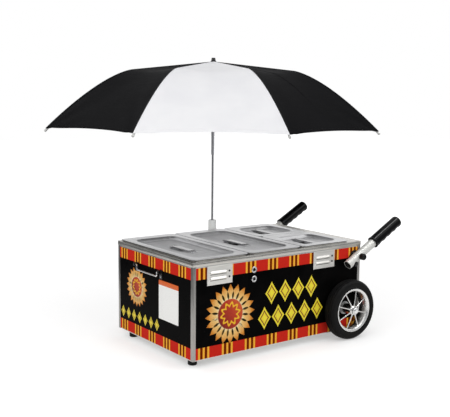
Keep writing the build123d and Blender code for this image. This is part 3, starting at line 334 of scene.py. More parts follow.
def softened(name, finish, width, slot, ends=None, seam=None, seam_shade=None):
    """A copy of a node of the cart body with its sharp edges rounded, in the node's place

    ends is the finish of faces along X, and the last finish is that of a band between two depths under the
    top, coloured dark: painted shade of a seam.
    """
    bm = bmesh.new()
    bm.from_mesh(nodes[name].data)
    bmesh.ops.remove_doubles(bm, verts=bm.verts, dist=1e-6)
    bmesh.ops.dissolve_limit(bm, angle_limit=math.radians(0.5), verts=bm.verts, edges=bm.edges)
    sharp = [e for e in bm.edges if len(e.link_faces) == 2 and e.calc_face_angle(0.0) > math.radians(40)]
    bmesh.ops.bevel(
        bm,
        geom=sharp,
        offset=width,
        offset_type="OFFSET",
        segments=2,
        profile=0.5,
        affect="EDGES",
        clamp_overlap=True,
    )
    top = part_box(name)[1][2]
    for depth in seam or ():
        cut_level(bm, top - depth)
    bm.normal_update()
    for face in bm.faces:
        face.material_index = int(ends is not None and abs(face.normal.x) > 0.7)
        # A band between the seam depths gets the dark finish: painted shade of a seam
        if seam and seam[0] < top - face.calc_center_median()[2] < seam[1]:
            face.material_index = 2
    finishes = [made for made in (finish, ends, seam_shade) if made]
    place_piece(piece_from("rounded_" + name, bm, finishes, 50.0), "cart", slot, name)


def skin(bm, loops, close=False, cap_first=False, cap_last=False):
    """Joins loops of points of equal count by quads, and closes or caps their row"""
    rings = [[bm.verts.new(p) for p in loop] for loop in loops]
    pairs = list(zip(rings, rings[1:]))
    if close:
        pairs.append((rings[-1], rings[0]))
    for one, two in pairs:
        for i in range(len(one)):
            j = (i + 1) % len(one)
            bm.faces.new((one[i], one[j], two[j], two[i]))
    if cap_first:
        bm.faces.new(rings[0][::-1])
    if cap_last:
        bm.faces.new(rings[-1])
    return rings


def turned(bm, profile, origin, axis, steps=48, close=False):
    """Adds a turned shape: profile points are (distance along the axis, radius); open rows are capped"""
    axis = Vector(axis).normalized()
    side = axis.orthogonal().normalized()
    up = axis.cross(side)
    loops = []
    for a, r in profile:
        middle = Vector(origin) + axis * a
        loops.append([middle + (side * math.cos(t) + up * math.sin(t)) * r for t in circle(steps)])
    skin(bm, loops, close, not close, not close)
    face_outwards(bm)


def turned_shape(profile, steps, axis=UP, close=False):
    """A turned shape of its own at the origin"""
    bm = bmesh.new()
    turned(bm, profile, (0, 0, 0), axis, steps, close)
    return bm


def rounded_loop(cx, cy, wide, deep, radius, z, arc=10):
    """Points round a rounded rectangle, as many for every size"""
    points = []
    for sx, sy, begin in ((1, -1, -90), (1, 1, 0), (-1, 1, 90), (-1, -1, 180)):
        mx, my = cx + sx * (wide / 2 - radius), cy + sy * (deep / 2 - radius)
        for i in range(arc + 1):
            turn = math.radians(begin + 90 * i / arc)
            points.append((mx + radius * math.cos(turn), my + radius * math.sin(turn), z))
    return points


def repeat_tree(name):
    """Geometry nodes that put one shape at every point, turned and sized by the point's attributes"""
    tree = bpy.data.node_groups.new(name, "GeometryNodeTree")
    for label, kind in (
        ("Geometry", "NodeSocketGeometry"),
        ("Shape", "NodeSocketObject"),
        ("Finish", "NodeSocketMaterial"),
    ):
        tree.interface.new_socket(label, in_out="INPUT", socket_type=kind)
    tree.interface.new_socket("Geometry", in_out="OUTPUT", socket_type="NodeSocketGeometry")
    given = add(tree, "NodeGroupInput", out=None).outputs
    shape = add(tree, "GeometryNodeObjectInfo", {"Object": given["Shape"]}, out="Geometry")
    turn = add(tree, "GeometryNodeInputNamedAttribute", {"Name": "turn"}, data_type="FLOAT_VECTOR")
    size = add(tree, "GeometryNodeInputNamedAttribute", {"Name": "size"}, data_type="FLOAT_VECTOR")
    put = add(
        tree,
        "GeometryNodeInstanceOnPoints",
        {
            "Points": given["Geometry"],
            "Instance": shape,
            "Rotation": add(tree, "FunctionNodeEulerToRotation", {0: turn}),
            "Scale": size,
        },
    )
    real = add(tree, "GeometryNodeRealizeInstances", {0: put})
    dressed = add(tree, "GeometryNodeSetMaterial", {"Geometry": real, "Material": given["Finish"]})
    add(tree, "NodeGroupOutput", {0: dressed}, out=None)
    return tree


def repeat(name, shape, places, finish, sharp=35.0):
    """One plain mesh of a shape repeated at places of (point, turn, size), through geometry nodes"""
    pattern = piece_from(name + "_shape", shape, [finish], sharp)
    mesh = bpy.data.meshes.new(name + "_points")
    mesh.from_pydata([place[0] for place in places], [], [])
    turns = mesh.attributes.new("turn", "FLOAT_VECTOR", "POINT")
    sizes = mesh.attributes.new("size", "FLOAT_VECTOR", "POINT")
    for i, place in enumerate(places):
        turns.data[i].vector = place[1]
        sizes.data[i].vector = place[2]
    points = bpy.data.objects.new(name + "_points", mesh)
    bpy.context.scene.collection.objects.link(points)
    tree = repeat_tree(name + "_repeat")
    modifier = points.modifiers.new("repeat", "NODES")
    modifier.node_group = tree
    sockets = {s.name: s.identifier for s in tree.interface.items_tree if s.in_out == "INPUT"}
    modifier[sockets["Shape"]] = pattern
    modifier[sockets["Finish"]] = finish
    bpy.context.view_layer.update()
    graph = bpy.context.evaluated_depsgraph_get()
    plain = bpy.data.meshes.new_from_object(points.evaluated_get(graph))
    plain.name = name
    made = bpy.data.objects.new(name, plain)
    bpy.context.scene.collection.objects.link(made)
    for spare in (points, pattern):
        bpy.data.objects.remove(spare)
    for attribute in ("turn", "size"):
        if attribute in plain.attributes:
            plain.attributes.remove(plain.attributes[attribute])
    return made


def flat_shape(outline, thick, tones=None, rings=((1.0, None),)):
    """A thin plate from an outline in local x and y, printed with a tone for each corner or inner ring"""
    bm = bmesh.new()
    layer = bm.verts.layers.float.new("tone")
    loops = [[(x, y, 0) for x, y in outline]]
    loops += [[(x * scale, y * scale, thick) for x, y in outline] for scale, tone in rings]
    made = skin(bm, loops, cap_last=True)
    for ring, (scale, tone) in zip(made, rings[:1] + tuple(rings)):
        for i, vert in enumerate(ring):
            vert[layer] = tone if tone is not None else tones[i] if tones else 0.5
    return bm


# The faces that carry print: local x to the viewer's right, local y up, local z outwards
FRONT_TURN = Euler((math.pi / 2, 0, 0))
LEFT_TURN = Euler((math.pi / 2, 0, -math.pi / 2))
RIGHT_TURN = Euler((math.pi / 2, 0, math.pi / 2))


def on_front(x, z, lift=0.0):
    """A point on the front of the cabinet"""
    return Vector((x, cab_low[1] - lift, z))


def on_left(y, z, lift=0.0):
    """A point on the left end of the cabinet"""
    return Vector((cab_low[0] - lift, y, z))


def spun(face_turn, angle):
    """A printed shape's turn on a face, spun about the face's own normal"""
    return (face_turn.to_matrix() @ Matrix.Rotation(angle, 3, "Z")).to_euler()


def rib_point(v):
    """Radius and height of the cloth over a rib, from the finial at 0 to the hem at 1"""
    peak_r, top, shoulder_r, shoulder_drop = 0.009, finial_low[2] - 0.0004, 0.300, 0.033
    skirt_drop, bend, lean, crown_part = 0.200, 1.5, 0.1, 0.42
    if v < crown_part:
        t = v / crown_part
        return peak_r + (shoulder_r - peak_r) * t, top - shoulder_drop * t
    t = (v - crown_part) / (1 - crown_part)
    drop = lean * t + (1 - lean) * t**bend
    return shoulder_r + (HEM_R - shoulder_r) * t, top - shoulder_drop - skirt_drop * drop


def rib_axes(k):
    """Outward and sideways directions of rib k"""
    turn = RIB_TURN + GORE_TURN * k
    return Vector((math.cos(turn), math.sin(turn), 0)), Vector((-math.sin(turn), math.cos(turn), 0))


def gore_point(gore, g, v, look):
    """Point of the cloth between rib gore and the next one; g runs 0 to 1 from rib to rib"""
    dip = math.sin(math.pi * g)
    v = v * (1 - look.hem_scallop / CLOTH_LONG * dip * v * v)
    radius, height = rib_point(v)
    turns = (RIB_TURN + GORE_TURN * gore, RIB_TURN + GORE_TURN * (gore + 1))
    ends = [Vector((radius * math.cos(t), radius * math.sin(t), height)) for t in turns]
    point = ends[0].lerp(ends[1], g)
    r0, z0 = rib_point(max(v - 0.01, 0.0))
    r1, z1 = rib_point(min(v + 0.01, 1.0))
    middle = (turns[0] + turns[1]) / 2
    slope = Vector((z0 - z1, r1 - r0)).normalized()
    normal = Vector((math.cos(middle) * slope[0], math.sin(middle) * slope[0], slope[1]))
    sag = look.gore_sag * dip * math.sin(math.pi * min(1.0, v * 0.92)) ** 0.7
    near_rib = math.cos(math.pi * g) ** 2
    # Pull folds fan out from both rib ends and die away over this length
    fade = 0.13
    pull = 0.0
    for end, at in ((0, g), (1, 1 - g)):
        across = at * 2 * radius * math.sin(GORE_TURN / 2)
        away = (1 - v) * CLOTH_LONG
        reach = math.hypot(across, away)
        fan = math.atan2(across, away + 0.02)
        folds = math.sin(9 * fan + 1.7 * gore + 2.1 * end)
        pull += folds * math.exp(-reach / fade) * min(1.0, across / 0.03)
    ripple = math.sin(37 * v + 2.3 * gore) * math.sin(math.pi * g) ** 2 * v * v
    return point + normal * (-sag + look.pucker * (pull * near_rib + 0.25 * ripple * near_rib))


class CanopyLook(bpy.types.PropertyGroup):
    """Sizes and colours of the umbrella cloth"""

    gore_sag: bpy.props.FloatProperty(
        name="Gore sag", description="Dip of the cloth between two ribs", default=0.009, unit="LENGTH"
    )
    hem_scallop: bpy.props.FloatProperty(
        name="Hem scallop",
        description="How far the hem curves up between two ribs",
        default=0.012,
        unit="LENGTH",
    )
    pucker: bpy.props.FloatProperty(
        name="Pucker", description="Height of the pull folds near the rib ends", default=0.0022, unit="LENGTH"
    )
    hem_width: bpy.props.FloatProperty(
        name="Hem width", description="Width of the turned-under hem", default=0.012, unit="LENGTH"
    )
    cloth: bpy.props.FloatProperty(
        name="Cloth", description="Thickness of the cloth", default=0.0005, unit="LENGTH", precision=4
    )
    seam: bpy.props.FloatProperty(
        name="Seam", description="Half width of the felled seam over a rib", default=0.0035, unit="LENGTH"
    )
    fold_keep: bpy.props.FloatProperty(
        name="Fold keep", description="Share of its width that a panel keeps when folded", default=0.80
    )
    fold_lean: bpy.props.FloatProperty(
        name="Fold lean",
        description="Lean of the folding direction",
        default=math.radians(7),
        unit="ROTATION",
    )
    lap: bpy.props.FloatProperty(
        name="Lap", description="How far a panel laps over its neighbour", default=0.004, unit="LENGTH"
    )
    stitch: bpy.props.FloatProperty(
        name="Stitch", description="Distance between two stitches", default=0.0045, unit="LENGTH"
    )
    white: bpy.props.StringProperty(name="White", description="Colour of the pale gores", default="#f3f3f5")
    black: bpy.props.StringProperty(name="Black", description="Colour of the dark gores", default="#0e0e10")


class PrintLook(bpy.types.PropertyGroup):
    """Sizes and colours of the printed film"""

    stripe_pitch: bpy.props.FloatProperty(
        name="Stripe pitch", description="Distance between stripe groups", default=0.088, unit="LENGTH"
    )
    stripe_group: bpy.props.FloatProperty(
        name="Stripe group", description="Width of a group of stripes", default=0.042, unit="LENGTH"
    )
    front_start: bpy.props.FloatProperty(
        name="Front start",
        description="Where the front's stripe groups start",
        default=-0.3813,
        unit="LENGTH",
    )
    end_start: bpy.props.FloatProperty(
        name="End start", description="Where the end's stripe groups start", default=-0.4330, unit="LENGTH"
    )
    low_band: bpy.props.FloatProperty(
        name="Low band", description="Top of the lower band", default=0.063, unit="LENGTH"
    )
    high_band: bpy.props.FloatProperty(
        name="High band", description="Bottom of the upper band", default=0.272, unit="LENGTH"
    )
    film_low: bpy.props.FloatProperty(
        name="Film low", description="Lower edge of the film", default=0.0275, unit="LENGTH"
    )
    film_high: bpy.props.FloatProperty(
        name="Film high", description="Upper edge of the film", default=0.3075, unit="LENGTH"
    )
    red: bpy.props.StringProperty(name="Red", description="Band colour", default="#cb2a1f")
    yellow: bpy.props.StringProperty(name="Yellow", description="Stripe colour", default="#f6c044")
    orange: bpy.props.StringProperty(name="Orange", description="Stripe edge colour", default="#ec8a22")
    maroon: bpy.props.StringProperty(name="Maroon", description="Gap colour", default="#6a2208")


class LidLook(bpy.types.PropertyGroup):
    """Sizes of the pressed lids"""

    side: bpy.props.FloatProperty(
        name="Side border", description="Flat border at both sides", default=0.024, unit="LENGTH"
    )
    back: bpy.props.FloatProperty(
        name="Back border", description="Flat border at the back", default=0.045, unit="LENGTH"
    )
    front: bpy.props.FloatProperty(
        name="Front border", description="Flat border at the front", default=0.028, unit="LENGTH"
    )
    corner: bpy.props.FloatProperty(
        name="Recess corner", description="Corner radius of the sunk middle", default=0.0288, unit="LENGTH"
    )
    strap: bpy.props.FloatProperty(
        name="Strap", description="Width of the strap", default=0.024, unit="LENGTH"
    )
    sheet: bpy.props.FloatProperty(
        name="Sheet", description="Thickness of the sheet", default=0.0012, unit="LENGTH", precision=4
    )


class StageLook(bpy.types.PropertyGroup):
    """Light, floor and camera"""

    lens: bpy.props.FloatProperty(
        name="Lens", description="Focal length", default=64.76, subtype="DISTANCE_CAMERA"
    )
    camera_at: bpy.props.FloatVectorProperty(
        name="Camera",
        description="Camera position",
        default=(-1.6993, -2.4030, 0.8040),
        subtype="TRANSLATION",
    )
    yaw: bpy.props.FloatProperty(
        name="Yaw", description="Heading", default=math.radians(36.17), subtype="ANGLE"
    )
    pitch: bpy.props.FloatProperty(
        name="Pitch", description="Tilt", default=math.radians(-7.73), subtype="ANGLE"
    )
    roll: bpy.props.FloatProperty(
        name="Roll", description="Roll", default=math.radians(0.55), subtype="ANGLE"
    )
    key: bpy.props.FloatProperty(
        name="Key", description="Power of the lamp at the right", default=186.0, unit="POWER"
    )
    fill: bpy.props.FloatProperty(
        name="Fill", description="Power of the lamp at the left", default=166.0, unit="POWER"
    )
    rim: bpy.props.FloatProperty(
        name="Rim", description="Power of the lamp behind", default=63.0, unit="POWER"
    )
    strip: bpy.props.FloatProperty(
        name="Strip", description="Strength of the card above in glossy pieces", default=20.0
    )
    sky: bpy.props.FloatProperty(name="Sky", description="Strength of the light from all round", default=0.40)
    foot_shadow: bpy.props.FloatProperty(
        name="Foot shadow",
        description="Reach of the soft shadow at the foot of the cart",
        default=0.11,
        unit="LENGTH",
    )
    glow: bpy.props.FloatProperty(
        name="Glow", description="White that the floor shows of itself", default=0.6
    )


class CART_OT_stage(bpy.types.Operator):
    """White floor and surround, soft lights, a grey flag and a white card to mirror, and the camera"""

    bl_idname = "cart.stage"
    bl_label = "Stage"

    def execute(self, context):
        look = context.scene.cart_stage
        scene = context.scene
        scene.view_settings.view_transform = "Standard"
        world = bpy.data.worlds.new("Studio")
        scene.world = world
        world.use_nodes = True
        tree = world.node_tree
        back = tree.nodes["Background"]
        back.inputs["Color"].default_value = (1, 1, 1, 1)
        strength = add(tree, SPREAD, {0: self.seen(tree), 3: look.sky, 4: 1.0})
        tree.links.new(strength, back.inputs["Strength"])

        mat, tree, shader, place = start(
            "Painted studio floor, rolled", "#cccccc", 0.0, 0.9, Specular_IOR_Level=0.0
        )
        grain = add(tree, NOISE, {"Vector": place, "Scale": per(30)})
        shader.inputs["Emission Color"].default_value = (1, 1, 1, 1)
        # The lamps reach the floor near the cart, and farther off it shows its own white
        away = add(tree, "ShaderNodeVectorMath", {0: place}, out=1, operation="LENGTH")
        reach = {0: away, 1: 0.9, 2: 3.0, 3: look.glow, 4: 1.0}
        white = add(tree, SPREAD, reach, interpolation_type="SMOOTHSTEP")
        # Close to the cart that white falls off, which leaves a soft shadow at its foot
        clear = add(tree, "ShaderNodeAmbientOcclusion", {"Distance": look.foot_shadow}, out="AO", samples=16)
        clear = add(tree, SPREAD, {0: clear, 3: 0.5, 4: 1.0})
        white = add(tree, MATH, {0: white, 1: clear}, operation="MULTIPLY")
        wire(
            tree,
            shader,
            Base_Color=add(tree, RAMP, {"Fac": grain}, stops=[(0.3, "#cbcbcb"), (0.7, "#cdcdcd")]),
            Emission_Strength=add(tree, MATH, {0: self.seen(tree), 1: white}, operation="MULTIPLY"),
        )
        bm = bmesh.new()
        bmesh.ops.create_grid(bm, x_segments=4, y_segments=4, size=12.0)
        piece_from("studio_floor", bm, [mat])
        self.flag()
        self.strip(look)

        # Name, power, size, place and aim of each lamp
        lamps = (
            ("key", look.key, (7.0, 4.6), (2.4, -5.1, 3.6), (0.0, -0.3, 0.3)),
            ("fill", look.fill, (6.4, 4.4), (-5.1, -1.8, 3.0), (-0.3, -0.25, 0.3)),
            ("rim", look.rim, (5.0, 2.4), (-2.4, 4.5, 3.3), (-0.1, -0.2, 0.35)),
        )
        for name, power, size, at, aim in lamps:
            data = bpy.data.lights.new(name, "AREA")
            data.shape = "RECTANGLE"
            data.size, data.size_y = size
            data.energy = power
            lamp = bpy.data.objects.new(name, data)
            lamp.location = at
            lamp.rotation_euler = (Vector(aim) - Vector(at)).to_track_quat("-Z", "Y").to_euler()
            scene.collection.objects.link(lamp)

        data = bpy.data.cameras.new("camera")
        data.lens = look.lens
        data.sensor_width = 36.0
        data.sensor_fit = "HORIZONTAL"
        data.clip_end = 60.0
        camera = bpy.data.objects.new("camera", data)
        flat = math.cos(look.pitch)
        ahead = Vector((math.sin(look.yaw) * flat, math.cos(look.yaw) * flat, math.sin(look.pitch)))
        right = Vector((math.cos(look.yaw), -math.sin(look.yaw), 0))
        up = right.cross(ahead)
        turned_right = right * math.cos(look.roll) + up * math.sin(look.roll)
        turned_up = -right * math.sin(look.roll) + up * math.cos(look.roll)
        basis = Matrix((turned_right, turned_up, -ahead)).transposed().to_4x4()
        camera.matrix_world = Matrix.Translation(look.camera_at) @ basis
        scene.collection.objects.link(camera)
        scene.camera = camera
        return {"FINISHED"}

    def seen(self, tree):
        """1 for what the camera sees itself or in metal or glass"""
        path = add(tree, "ShaderNodeLightPath", out=None).outputs
        first = add(tree, MATH, {0: path["Is Camera Ray"], 1: path["Is Glossy Ray"]}, operation="MAXIMUM")
        return add(tree, MATH, {0: first, 1: path["Is Transmission Ray"]}, operation="MAXIMUM")

    def flag(self):
        """Grey cloth round the left and front, darker at the left, seen only in mirroring surfaces"""
        # An oval wall: its height and half widths, how far it stands forward, and its heading and half arc
        tall, wide, deep, forward, heading, half_arc = 1.05, 1.2, 1.25, 0.25, 212, 118
        mat, tree, shader, place = start(
            "Studio cloth, woven grey", "#000000", 0.0, 1.0, Specular_IOR_Level=0.0
        )
        split = add(tree, "ShaderNodeSeparateXYZ", {0: place}, out=None).outputs
        share = add(tree, SPREAD, {0: split["Z"], 2: tall})
        shade = [(0.0, "#8c8e92"), (0.15, "#a4a6a9"), (0.35, "#c2c4c6"), (0.8, "#c8cacc"), (1.0, "#ffffff")]
        side = add(tree, SPREAD, {0: split["X"], 1: -1.0, 2: 0.6, 3: 0.5, 4: 1.0})
        grey = add(tree, RAMP, {"Fac": share}, stops=shade)
        wire(tree, shader, Emission_Color=grey, Emission_Strength=side)
        bm = bmesh.new()
        bmesh.ops.create_grid(bm, x_segments=48, y_segments=8, size=1.0)
        for vert in bm.verts:
            turn = math.radians(heading + half_arc * vert.co.x)
            height = tall / 2 * (vert.co.y + 1) + 0.002
            vert.co = (wide * math.cos(turn), deep * math.sin(turn) - forward, height)
        self.mirrored("studio_flag", bm, mat)

    def strip(self, look):
        """White card above the grips, which draws the highlight along glossy pieces"""
        mat, shader = start(
            "Studio card, painted white", "#000000", 0.0, 1.0, Specular_IOR_Level=0.0
        )[::2]
        shader.inputs["Emission Color"].default_value = (1, 1, 1, 1)
        shader.inputs["Emission Strength"].default_value = look.strip
        bm = bmesh.new()
        bmesh.ops.create_grid(bm, x_segments=1, y_segments=1, size=0.5)
        bmesh.ops.scale(bm, vec=(1.2, 0.5, 1.0), verts=bm.verts)
        bmesh.ops.translate(bm, vec=(0.6, -1.25, 2.9), verts=bm.verts)
        self.mirrored("studio_strip", bm, mat)

    def mirrored(self, name, bm, mat):
        """Stage piece that shows only in mirroring surfaces"""
        card = piece_from(name, bm, [mat])
        card.visible_camera = False
        card.visible_diffuse = False
        card.visible_transmission = False
        card.visible_shadow = False


class CART_OT_finishes(bpy.types.Operator):
    """Finishes of the pieces that keep their built shape, some of them with rounded edges"""

    bl_idname = "cart.finishes"
    bl_label = "Finishes"

    def execute(self, context):
        sheet = brushed_stainless("deck", (1, 0, 0), "#b2afa9", "#d6d3cd", 0.28)
        across = brushed_stainless("ends", (0, 1, 0), "#b2afa9", "#d6d3cd", 0.28)
        upright = brushed_stainless("trims", (0, 0, 1), "#8b8985", "#b0aeaa", 0.3)
        tube = lacquered("Steel tube, silver lacquered", "#cfcfcb", 0.55, Metallic=0.3)
        # The bores of the tubes get painted shade
        self.painted_bore_shade(tube, "#cfcfcb")
        chrome = plain_metal("Chromed steel, plated", "#dedede", 0.1)
        shade = plain_metal("Stainless steel, seam in shade", "#1d1d1e", 0.5, 12.0)
        drawn = plain_metal("Mild steel, drawn", "#9a9a9a", 0.35)
        hard = moulded(
            "Phenolic, moulded gloss black", "#050506", "#0a0a0b", 0.2, 2.0, 0.03, Specular_IOR_Level=0.25
        )
        soft = moulded("ABS, moulded matt black", "#121212", "#1c1c1c", 0.55, Specular_IOR_Level=0.25)
        rubber = moulded("Rubber, moulded", "#0e0e0e", "#1d1c19", 0.75, Specular_IOR_Level=0.2)
        grey = moulded("ABS, moulded light grey", "#f0f1ef", "#e6e7e5", 0.42, 1.5, 0.06)
        brass = plain_metal("Brass, machined", "#c8a45a", 0.25)
        red = moulded("Vinyl, dipped red", "#a81a14", "#8c1510", 0.4, 2.0, 0.05)
        amber = moulded("Acrylic, moulded amber", "#e07a12", "#c96a0e", 0.12, 3.0, 0.02, Coat_Weight=0.5)
        pole = plain_metal("Steel tube, plated and waxed", "#a9a9ac", 0.24)
        sleeve = plain_metal("Aluminium sleeve, drawn", "#c6c6c9", 0.3)
        dark = lacquered(
            "Spring steel, black lacquered", "#242426", 0.4, Coat_Weight=0.2, Coat_Roughness=0.15
        )
        black = lacquered("Mild steel, stove enamelled black", "#0c0c0d", 0.32, Specular_IOR_Level=0.3)
        rows = {
            sheet: "deck vent_plates water_pan food_pans lid_left lid_middle lid_right_front lid_right_back "
            "control_panel socket_bracket",
            upright: "corner_trims",
            chrome: "axle_caps bail screws handle_bolts",
            drawn: "axle heating_element rim_front rim_back",
            tube: "tube_front tube_back",
            hard: "grip_front grip_back knob_front knob_back finial",
            soft: "thermostat thermostat_knob power_switch power_inlet crown",
            rubber: "feet tyre_front tyre_back",
            grey: "umbrella_socket",
            brass: "drain_valve",
            red: "drain_lever",
            amber: "pilot_lamp",
            pole: "pole",
            sleeve: "runner",
            black: "handle_brackets bail_lugs",
            dark: " ".join("rib_%d stretcher_%d" % (k, k) for k in range(1, GORES + 1)),
        }
        for finish, names in rows.items():
            for name in names.split():
                nodes[name].material_slots[0].material = finish
        # The deck's lip is folded; a fine dark band between these two depths under its top is painted shade
        # of the seam
        softened("deck", sheet, 0.0006, "stainless", across, (0.0049, 0.0058), shade)
        for name, finish, width, slot in (
            ("corner_trims", upright, 0.0005, "stainless"),
            ("umbrella_socket", grey, 0.001, "grey_socket"),
            ("feet", rubber, 0.0012, "rubber"),
            ("control_panel", across, 0.0005, "stainless"),
            ("socket_bracket", sheet, 0.0005, "stainless"),
            ("handle_brackets", black, 0.0008, "black_bracket"),
            ("bail_lugs", black, 0.0006, "black_bracket"),
            ("axle_caps", chrome, 0.0008, "chrome"),
        ):
            softened(name, finish, width, slot)
        return {"FINISHED"}

    def painted_bore_shade(self, mat, colour):
        """Painted shade inside the two handle tubes: the bore is coloured near black"""
        tree = mat.node_tree
        place = add(tree, "ShaderNodeTexCoord", out="Object")
        bore, wall = 0.0128, 0.0134
        pivot = Vector((HANDLE_X, 0, HANDLE_Z))
        upward = Vector((-math.sin(HANDLE_TILT), 0, math.cos(HANDLE_TILT)))
        front, back = [centre_of("tube_" + side)[1] for side in ("front", "back")]
        lift = add(tree, "ShaderNodeVectorMath", {0: place, 1: upward}, out=1, operation="DOT_PRODUCT")
        lift = add(tree, MATH, {0: lift, 1: pivot.dot(upward)}, operation="SUBTRACT")
        split = add(tree, "ShaderNodeSeparateXYZ", {0: place}, out=None).outputs
        aside = add(tree, MATH, {0: split["Y"], 1: (front + back) / 2}, operation="SUBTRACT")
        aside = add(tree, MATH, {0: aside}, operation="ABSOLUTE")
        aside = add(tree, MATH, {0: aside, 1: abs(back - front) / 2}, operation="SUBTRACT")
        flat = add(tree, "ShaderNodeCombineXYZ", {0: lift, 1: aside})
        away = add(tree, "ShaderNodeVectorMath", {0: flat}, out=1, operation="LENGTH")
        share = add(tree, SPREAD, {0: away, 1: bore, 2: wall})
        paint = add(tree, RAMP, {"Fac": share}, stops=[(0.0, "#262523"), (1.0, colour)])
        wire(tree, tree.nodes["Principled BSDF"], Base_Color=paint)


class CART_OT_canopy(bpy.types.Operator):
    """Umbrella cloth: one panel over each rib, half of each of its two gores, with hem, seam and stitches"""

    bl_idname = "cart.canopy"
    bl_label = "Canopy"

    def execute(self, context):
        look = context.scene.cart_canopy
        cloths = (taffeta("white", look.white, "#ededf0"), taffeta("black", look.black, "#0a0a0c"))
        threads = (
            moulded("Polyester thread, white", "#e6e6e8", "#dadadc", 0.7, 0.6, 0.1),
            moulded("Polyester thread, black", "#1a1a1c", "#232325", 0.7, 0.6, 0.1, Specular_IOR_Level=0.2),
        )
        for k in range(GORES):
            body = "rib_%d" % (k + 1)
            panel, area = self.panel(k, look, cloths)
            sewn = [self.stitches(k, side, look, threads) for side in (-1, 1)]
            for soft in [panel] + sewn:
                place_piece(soft, body, "canopy")
                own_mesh(soft)
            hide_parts("canopy")
        return {"FINISHED"}

    def panel(self, k, look, cloths):
        """Cloth over rib k from the middle of one gore to that of the next, with its hem turned under"""
        steps = [i / 40 for i in range(41)]
        # Rows of the turned hem: how far they lie back from the edge and under the cloth
        fold = ((-0.0004, 0.0006), (0.004, 0.0011), (look.hem_width, 0.0008))
        # Columns beside the rib in widths of the seam, then even ones out to the edge
        beside = (0.0, 0.9, 1.1)
        even = 14
        # Height of the felled seam, how far a lapping edge is sunk, and where lap and sinking start to fade
        ridge_high, layer, lap_fade, sink_fade, fade = 0.0005, 0.00045, 0.40, 0.60, 0.3
        bm = bmesh.new()
        uv = bm.loops.layers.uv.new("cloth")
        grid = []
        spots = {}
        for row, v in enumerate(steps + [None] * len(fold)):
            line = []
            fold_in, fold_under = (0.0, 0.0) if v is not None else fold[row - len(steps)]
            level = 1.0 - fold_in / CLOTH_LONG if v is None else v
            half = rib_point(level)[0] * math.sin(GORE_TURN / 2)
            near = min(look.seam, half * 0.3)
            edge = half + min(look.lap, half * 0.6) * (1 - smooth((level - lap_fade) / fade))
            sunk = layer * (1 - smooth((level - sink_fade) / fade))
            widths = [near * part for part in beside]
            widths += [widths[2] + (edge - widths[2]) * (i + 1) / even for i in range(even)]
            for side in (-1, 1):
                part = []
                gore = k if side > 0 else (k - 1) % GORES
                for c, across in enumerate(widths):
                    g = across / half / 2
                    at = gore_point(gore, g if side > 0 else 1 - g, level, look)
                    ridge = ridge_high if c < 2 else 0.0
                    under = side * sunk * smooth((g - 0.2) / 0.25)
                    at = at + Vector((0, 0, ridge - fold_under - under))
                    down = (1 - level) * CLOTH_LONG - 2 * fold_in * (v is None)
                    part.append((side * across, down, at))
                line.append(part)
            verts = []
            for x, y, at in line[0][:0:-1] + line[1]:
                vert = bm.verts.new(at)
                spots[vert] = (x, y)
                verts.append(vert)
            grid.append(verts)
        middle = len(widths) - 1
        for one, two in zip(grid, grid[1:]):
            for i in range(len(one) - 1):
                face = bm.faces.new((one[i], two[i], two[i + 1], one[i + 1]))
                face.material_index = (k if i >= middle else k - 1) % 2
                for loop in face.loops:
                    loop[uv].uv = spots[loop.vert]
        area = sum(f.calc_area() for f in bm.faces)
        bm.edges.index_update()
        rim = [edge.index for edge in bm.edges if edge.is_boundary]
        made = piece_from("canopy_panel_%d" % (k + 1), bm, cloths, 60.0)
        for i in rim:
            made.data.edges[i].use_edge_sharp = True
        thick = made.modifiers.new("cloth", "SOLIDIFY")
        thick.thickness = look.cloth
        thick.offset = -1.0
        return made, area

    def stitches(self, k, side, look, threads):
        """Stitch rows along the hem and beside the seam on one side of rib k"""
        thread = ((-0.0014, 0.0001), (-0.0011, 0.0003), (0.0011, 0.0003), (0.0014, 0.0001))
        shape = turned_shape(thread, 6, (1, 0, 0))
        # How far in the hem's row lies, and length, start and share of the row along the rib
        in_from_hem, seam_long, seam_from, seam_part = 0.010, 0.62, 0.06, 0.92
        gore = k if side > 0 else (k - 1) % GORES
        half = HEM_R * math.sin(GORE_TURN / 2)
        count = int(half / look.stitch)
        hem = []
        for i in range(count):
            g = (i + 0.5) / count / 2
            hem.append(gore_point(gore, g if side > 0 else 1 - g, 1 - in_from_hem / CLOTH_LONG, look))
        count = int(seam_long / look.stitch)
        seam = []
        for i in range(count):
            v = seam_from + seam_part * (i + 0.5) / count
            g = look.seam * 0.75 / (rib_point(v)[0] * math.sin(GORE_TURN / 2)) / 2
            seam.append(gore_point(gore, g if side > 0 else 1 - g, v, look) + Vector((0, 0, 0.0006)))
        places = []
        for line in (hem, seam):
            for before, after in zip(line, line[1:]):
                middle = (before + after) / 2 + Vector((0, 0, 0.0002))
                turn = (after - before).to_track_quat("X", "Z").to_euler()
                places.append((middle, turn, FULL_SIZE))
        name = "canopy_stitches_%d_%s" % (k + 1, "after" if side > 0 else "before")
        return repeat(name, shape, places, threads[gore % 2])


